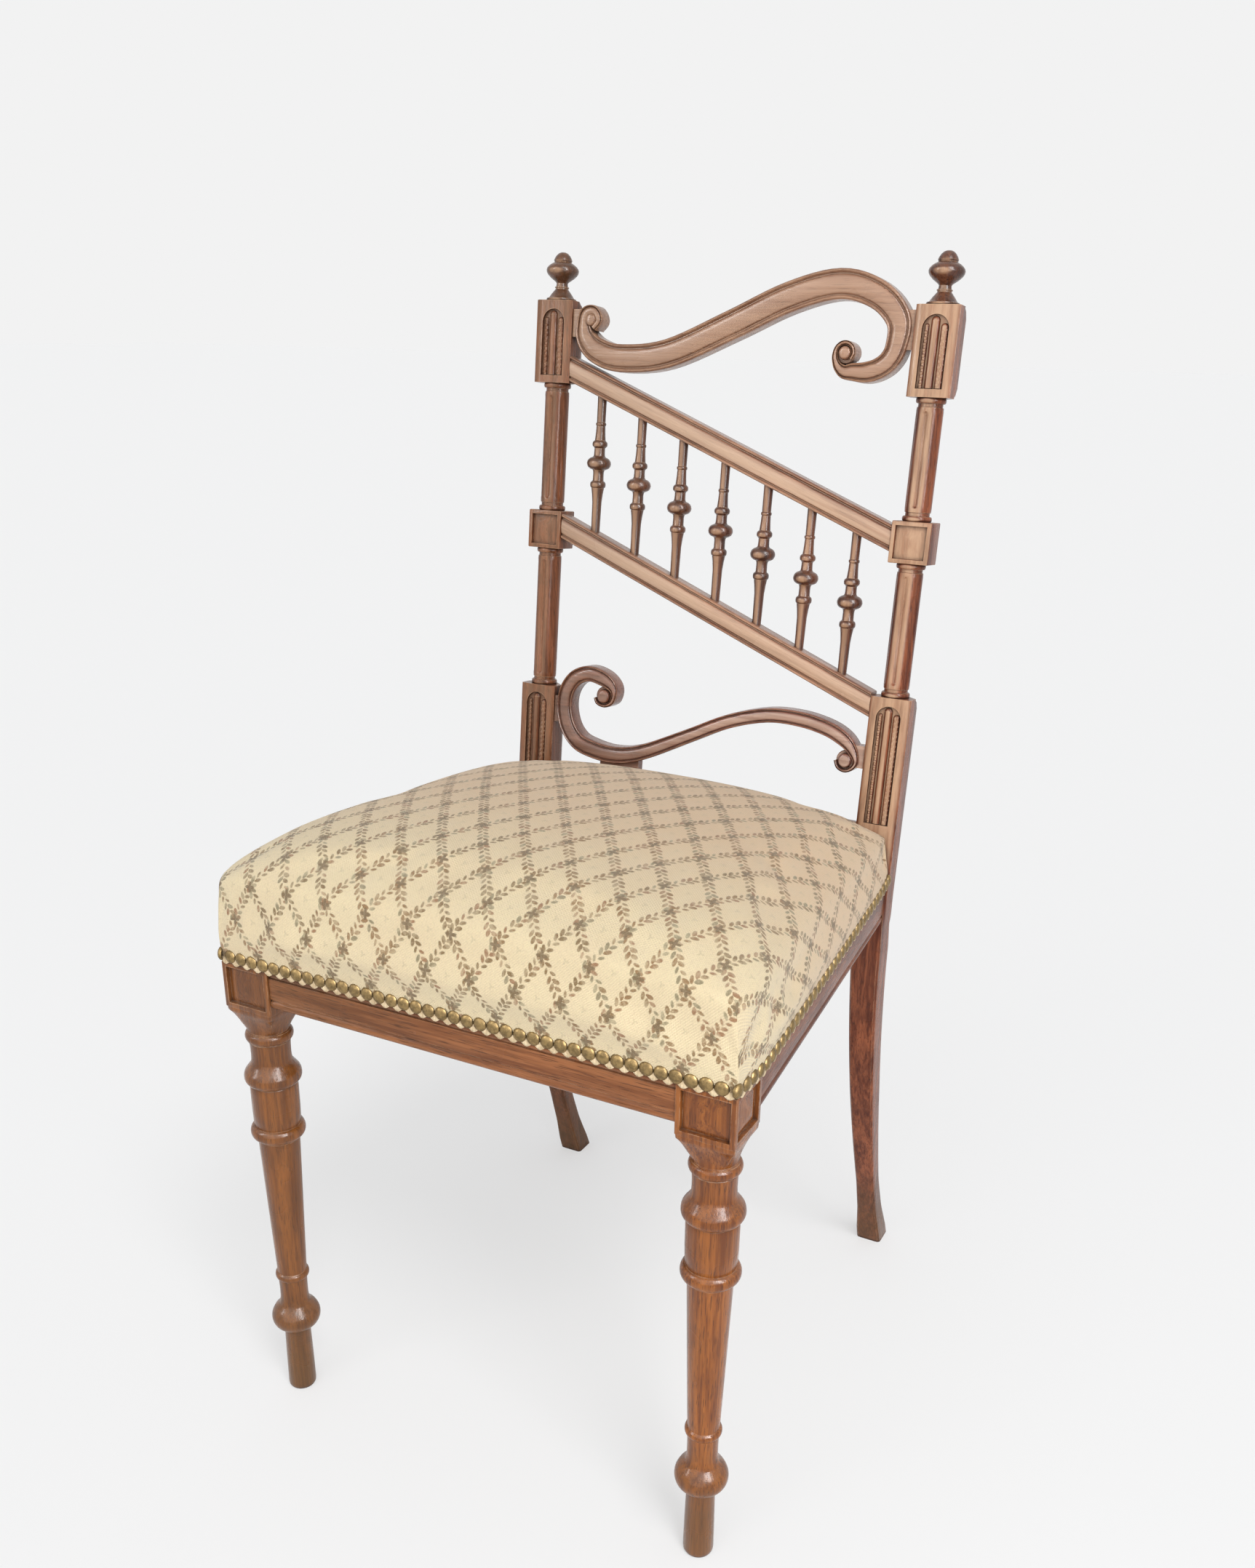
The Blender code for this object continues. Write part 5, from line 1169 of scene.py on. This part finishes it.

# %% [markdown]
# Close-set domed nails of old brass hold the cloth. They touch each other, the gaps between them are
# darkened with painted shade, and the cloth's edge shows under them as a row of small pale scallops. Each
# nail is a shallow cap of a few dozen faces, and the nails of one side are one piece.

# %% Drive the nails
def old_brass():
    made, nodes, shader, coordinates = new_material("nail_brass")
    at = coordinates.outputs["Object"]
    rub = placed_group(nodes, "edge_rub", at, Radius=0.0006)
    patches = ramp(nodes, noise_node(nodes, at, 260.0, 4.0, 0.65), 0.35, 0.65)
    colour = colour_mix(nodes, patches, (0.33, 0.225, 0.095), (0.17, 0.115, 0.05))
    # Painted shade: the brass goes nearly black where the nails crowd together and meet the cloth.
    colour = colour_mix(nodes, math_node(nodes, "MULTIPLY", rub.outputs["Hollow"], 0.9), colour, (0.035, 0.024, 0.012))
    made.node_tree.links.new(colour, shader.inputs["Base Color"])
    metal = math_node(nodes, "MULTIPLY_ADD", rub.outputs["Hollow"], -0.7, 0.85, clamp=True)
    made.node_tree.links.new(metal, shader.inputs["Metallic"])
    made.node_tree.links.new(math_node(nodes, "MULTIPLY_ADD", patches, 0.16, 0.36), shader.inputs["Roughness"])
    return made


def nail_line():
    """The nailed edge as dense (place, outward direction) pairs, from the left rear round to the right rear."""
    runs = [(-1.0, -t) for t in np.linspace(-0.985, 1.0, 160)] + [(t, -1.0) for t in np.linspace(-1.0, 1.0, 200)]
    runs += [(1.0, t) for t in np.linspace(-1.0, 0.985, 160)]
    places = []
    for u, v in runs:
        y = cloth_plan(u, v, SHOW_TOP + 0.003).y
        places.append(cloth_plan(u, v, low_edge(y) + 0.0030))
    return places


def along_nail_line(pitch):
    """(place, outward, distance) at equal steps along the nailed edge."""
    places = nail_line()
    lengths = np.concatenate([[0.0], np.cumsum([(b - a).length for a, b in zip(places, places[1:])])])
    count = int(lengths[-1] / pitch)
    start = (lengths[-1] - count * pitch) / 2
    found = []
    for i in range(count + 1):
        distance = start + i * pitch
        point = [float(np.interp(distance, lengths, [place[axis] for place in places])) for axis in range(3)]
        ahead = [float(np.interp(distance + 0.001, lengths, [place[axis] for place in places])) for axis in range(3)]
        direction = (Vector(ahead) - Vector(point)).normalized()
        found.append((Vector(point), direction.cross(Vector((0, 0, 1))).normalized(), distance))
    return found


NAIL_PITCH, NAIL_RADIUS = 0.01075, 0.0055
brass = old_brass()
sides = {"left": bmesh.new(), "front": bmesh.new(), "right": bmesh.new()}
for number, (point, outward, _) in enumerate(along_nail_line(NAIL_PITCH)):
    side = "front" if outward.y < -0.7 else ("left" if outward.x < 0 else "right")
    turn = outward.to_track_quat("Z", "Y").to_matrix().to_4x4()
    wobble = noise.noise_vector(Vector((number * 1.7, 3.1, 0.4)))
    middle = point + FRONT_AXIS + outward * 0.0002 + Vector((0, 0, 0.0026 + wobble.z * 0.0005))
    shape = Matrix.Translation(middle) @ turn @ Matrix.Diagonal((NAIL_RADIUS, NAIL_RADIUS, 0.0029, 1.0))
    dome_faces = bmesh.ops.create_uvsphere(sides[side], u_segments=12, v_segments=8, radius=1.0, matrix=shape)
    behind = [vert for vert in dome_faces["verts"] if (vert.co - middle).dot(outward) < -0.0012]
    bmesh.ops.delete(sides[side], geom=behind, context="VERTS")
    open_edges = [edge for edge in sides[side].edges if edge.is_boundary]
    bmesh.ops.holes_fill(sides[side], edges=open_edges, sides=16)
for side, bm in sides.items():
    nails = finished(f"nails_{side}", bm, brass, 60)
    print(nails.name, len(nails.data.polygons), "faces")

# %% Trim the cloth's edge
edge_cloth, nodes, shader, coordinates = new_material("cloth_edge")
threads = placed_group(nodes, "plain_weave", coordinates.outputs["Object"], Threads=900.0)
rub = placed_group(nodes, "edge_rub", coordinates.outputs["Object"])
tint = ramp(nodes, noise_node(nodes, coordinates.outputs["Object"], 180.0, 3.0), 0.35, 0.65)
colour = colour_mix(nodes, tint, (0.78, 0.62, 0.40), (0.58, 0.43, 0.25))
# Painted shade: the scallops darken in the hollows under and between the nails.
colour = colour_mix(nodes, math_node(nodes, "MULTIPLY", rub.outputs["Hollow"], 0.6), colour, (0.12, 0.08, 0.045))
edge_cloth.node_tree.links.new(colour, shader.inputs["Base Color"])
shader.inputs["Roughness"].default_value = 0.85
bump(nodes, shader, threads.outputs["Height"], 0.0002)

STEPS_PER_NAIL = 6
path = along_nail_line(NAIL_PITCH / STEPS_PER_NAIL)
first_nail = along_nail_line(NAIL_PITCH)[0][2]
bm = bmesh.new()
bmesh.ops.create_grid(bm, x_segments=len(path) - 1, y_segments=3, size=1.0)
for vert in bm.verts:
    place_number = round((vert.co.x + 1) / 2 * (len(path) - 1))
    row = round((vert.co.y + 1) / 2 * 3)
    point, outward, distance = path[place_number]
    phase = (distance - first_nail) / NAIL_PITCH
    hang = 0.0036 * abs(math.sin(math.pi * phase)) ** 1.2
    height = point.z + 0.0012 - (0.0022 + hang) * (1 - row / 3)
    vert.co = point + FRONT_AXIS + outward * (0.0004 + 0.0004 * (1 - row / 3))
    vert.co.z = height
hem = finished("cloth_edge_scallops", bm, edge_cloth, 60)
thick = hem.modifiers.new("thickness", "SOLIDIFY")
thick.thickness, thick.offset = 0.0007, 0.0
print("scallops", len(hem.data.polygons), "faces")

# %% [markdown]
# What holds the sitter is out of sight: six jute straps interlaced across the frame, a coarse hessian over
# them, and a stitched pad of horsehair under the cloth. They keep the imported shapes. A copy of each is
# merged into one skin and gets a finish with its own weave or matted hair, and glue blocks of plain beech
# brace the corners.

# %% Finish the hidden upholstery
def woven_jute(name, threads, light, dark, turn=(0, 0, 0)):
    made, nodes, shader, coordinates = new_material(name)
    at = coordinates.outputs["Object"]
    cloth = placed_group(nodes, "plain_weave", stretched(nodes, at, (1, 1, 1), turn), Threads=threads)
    blotch = ramp(nodes, noise_node(nodes, at, 45.0, 4.0, 0.6), 0.35, 0.65)
    colour = colour_mix(nodes, blotch, light, dark)
    colour = colour_mix(nodes, math_node(nodes, "MULTIPLY", cloth.outputs["Gap"], 0.75), colour, (0.05, 0.03, 0.015))
    made.node_tree.links.new(colour, shader.inputs["Base Color"])
    shader.inputs["Roughness"].default_value = 0.9
    bump(nodes, shader, cloth.outputs["Height"], 0.0006)
    return made


def dressed_copy(node, name, material, cuts=0, sharp=50.0):
    """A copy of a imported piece, merged into one skin, with smooth faces and a finish."""
    bm = bmesh.new()
    bm.from_mesh(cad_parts[node].data)
    bmesh.ops.remove_doubles(bm, verts=bm.verts[:], dist=1e-6)
    bmesh.ops.dissolve_limit(bm, angle_limit=math.radians(0.5), verts=bm.verts[:], edges=bm.edges[:])
    if cuts:
        bmesh.ops.subdivide_edges(bm, edges=[edge for edge in bm.edges if edge.calc_length() > 0.02], cuts=cuts, use_grid_fill=True)
    made = finished(name, bm, material, sharp)
    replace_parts(made, node)
    return made


strap_cloth = woven_jute("jute_webbing", 420.0, (0.44, 0.32, 0.18), (0.30, 0.21, 0.12))
sack_cloth = woven_jute("jute_hessian", 560.0, (0.46, 0.35, 0.21), (0.34, 0.25, 0.14))


FRAME_SIDES = {"long": ["front_seat_rail", "back_seat_rail"], "cross": ["side_seat_rail_left", "side_seat_rail_right"]}
for run, rails in FRAME_SIDES.items():
    for number in (1, 2, 3):
        strap = dressed_copy(f"webbing_{run}_{number}", f"jute_strap_{run}_{number}", strap_cloth)
sacking = dressed_copy("seat_hessian", "jute_sacking", sack_cloth)

hair, nodes, shader, coordinates = new_material("matted_horsehair")
at = coordinates.outputs["Object"]
curls = noise_node(nodes, at, 380.0, 6.0, 0.75, 2.5)
colour = colour_mix(nodes, ramp(nodes, curls, 0.36, 0.64), (0.030, 0.020, 0.014), (0.15, 0.10, 0.065))
hair.node_tree.links.new(colour, shader.inputs["Base Color"])
shader.inputs["Roughness"].default_value = 0.8
bump(nodes, shader, curls, 0.0012)
pad = dressed_copy("seat_stuffing", "horsehair_pad", hair, sharp=70.0)
low = min(vertex.co.z for vertex in pad.data.vertices)
middle_y = sum(vertex.co.y for vertex in pad.data.vertices) / len(pad.data.vertices)
for vertex in pad.data.vertices:
    vertex.co = Vector((vertex.co.x * 0.965, middle_y + (vertex.co.y - middle_y) * 0.965, low + (vertex.co.z - low) * 0.93))

beech, nodes, shader, coordinates = new_material("beech_blocks")
at = coordinates.outputs["Object"]
grain_here = placed_group(nodes, "wood_grain", stretched(nodes, at, (1, 1, 1), (0, -QUARTER, 0)))
rub = placed_group(nodes, "edge_rub", at, Amount=0.5)
colour = colour_mix(nodes, grain_here.outputs["Figure"], (0.36, 0.22, 0.11), (0.50, 0.33, 0.19))
colour = colour_mix(nodes, math_node(nodes, "MULTIPLY", rub.outputs["Hollow"], 0.7), colour, (0.06, 0.035, 0.02))
beech.node_tree.links.new(colour, shader.inputs["Base Color"])
shader.inputs["Roughness"].default_value = 0.7
bump(nodes, shader, grain_here.outputs["Figure"], 0.0002)
for corner in ("front_left", "front_right", "rear_left", "rear_right"):
    glue_block = dressed_copy(f"corner_block_{corner}", f"glue_block_{corner}", beech)
    eased = glue_block.modifiers.new("eased", "BEVEL")
    eased.width, eased.segments = 0.0008, 2
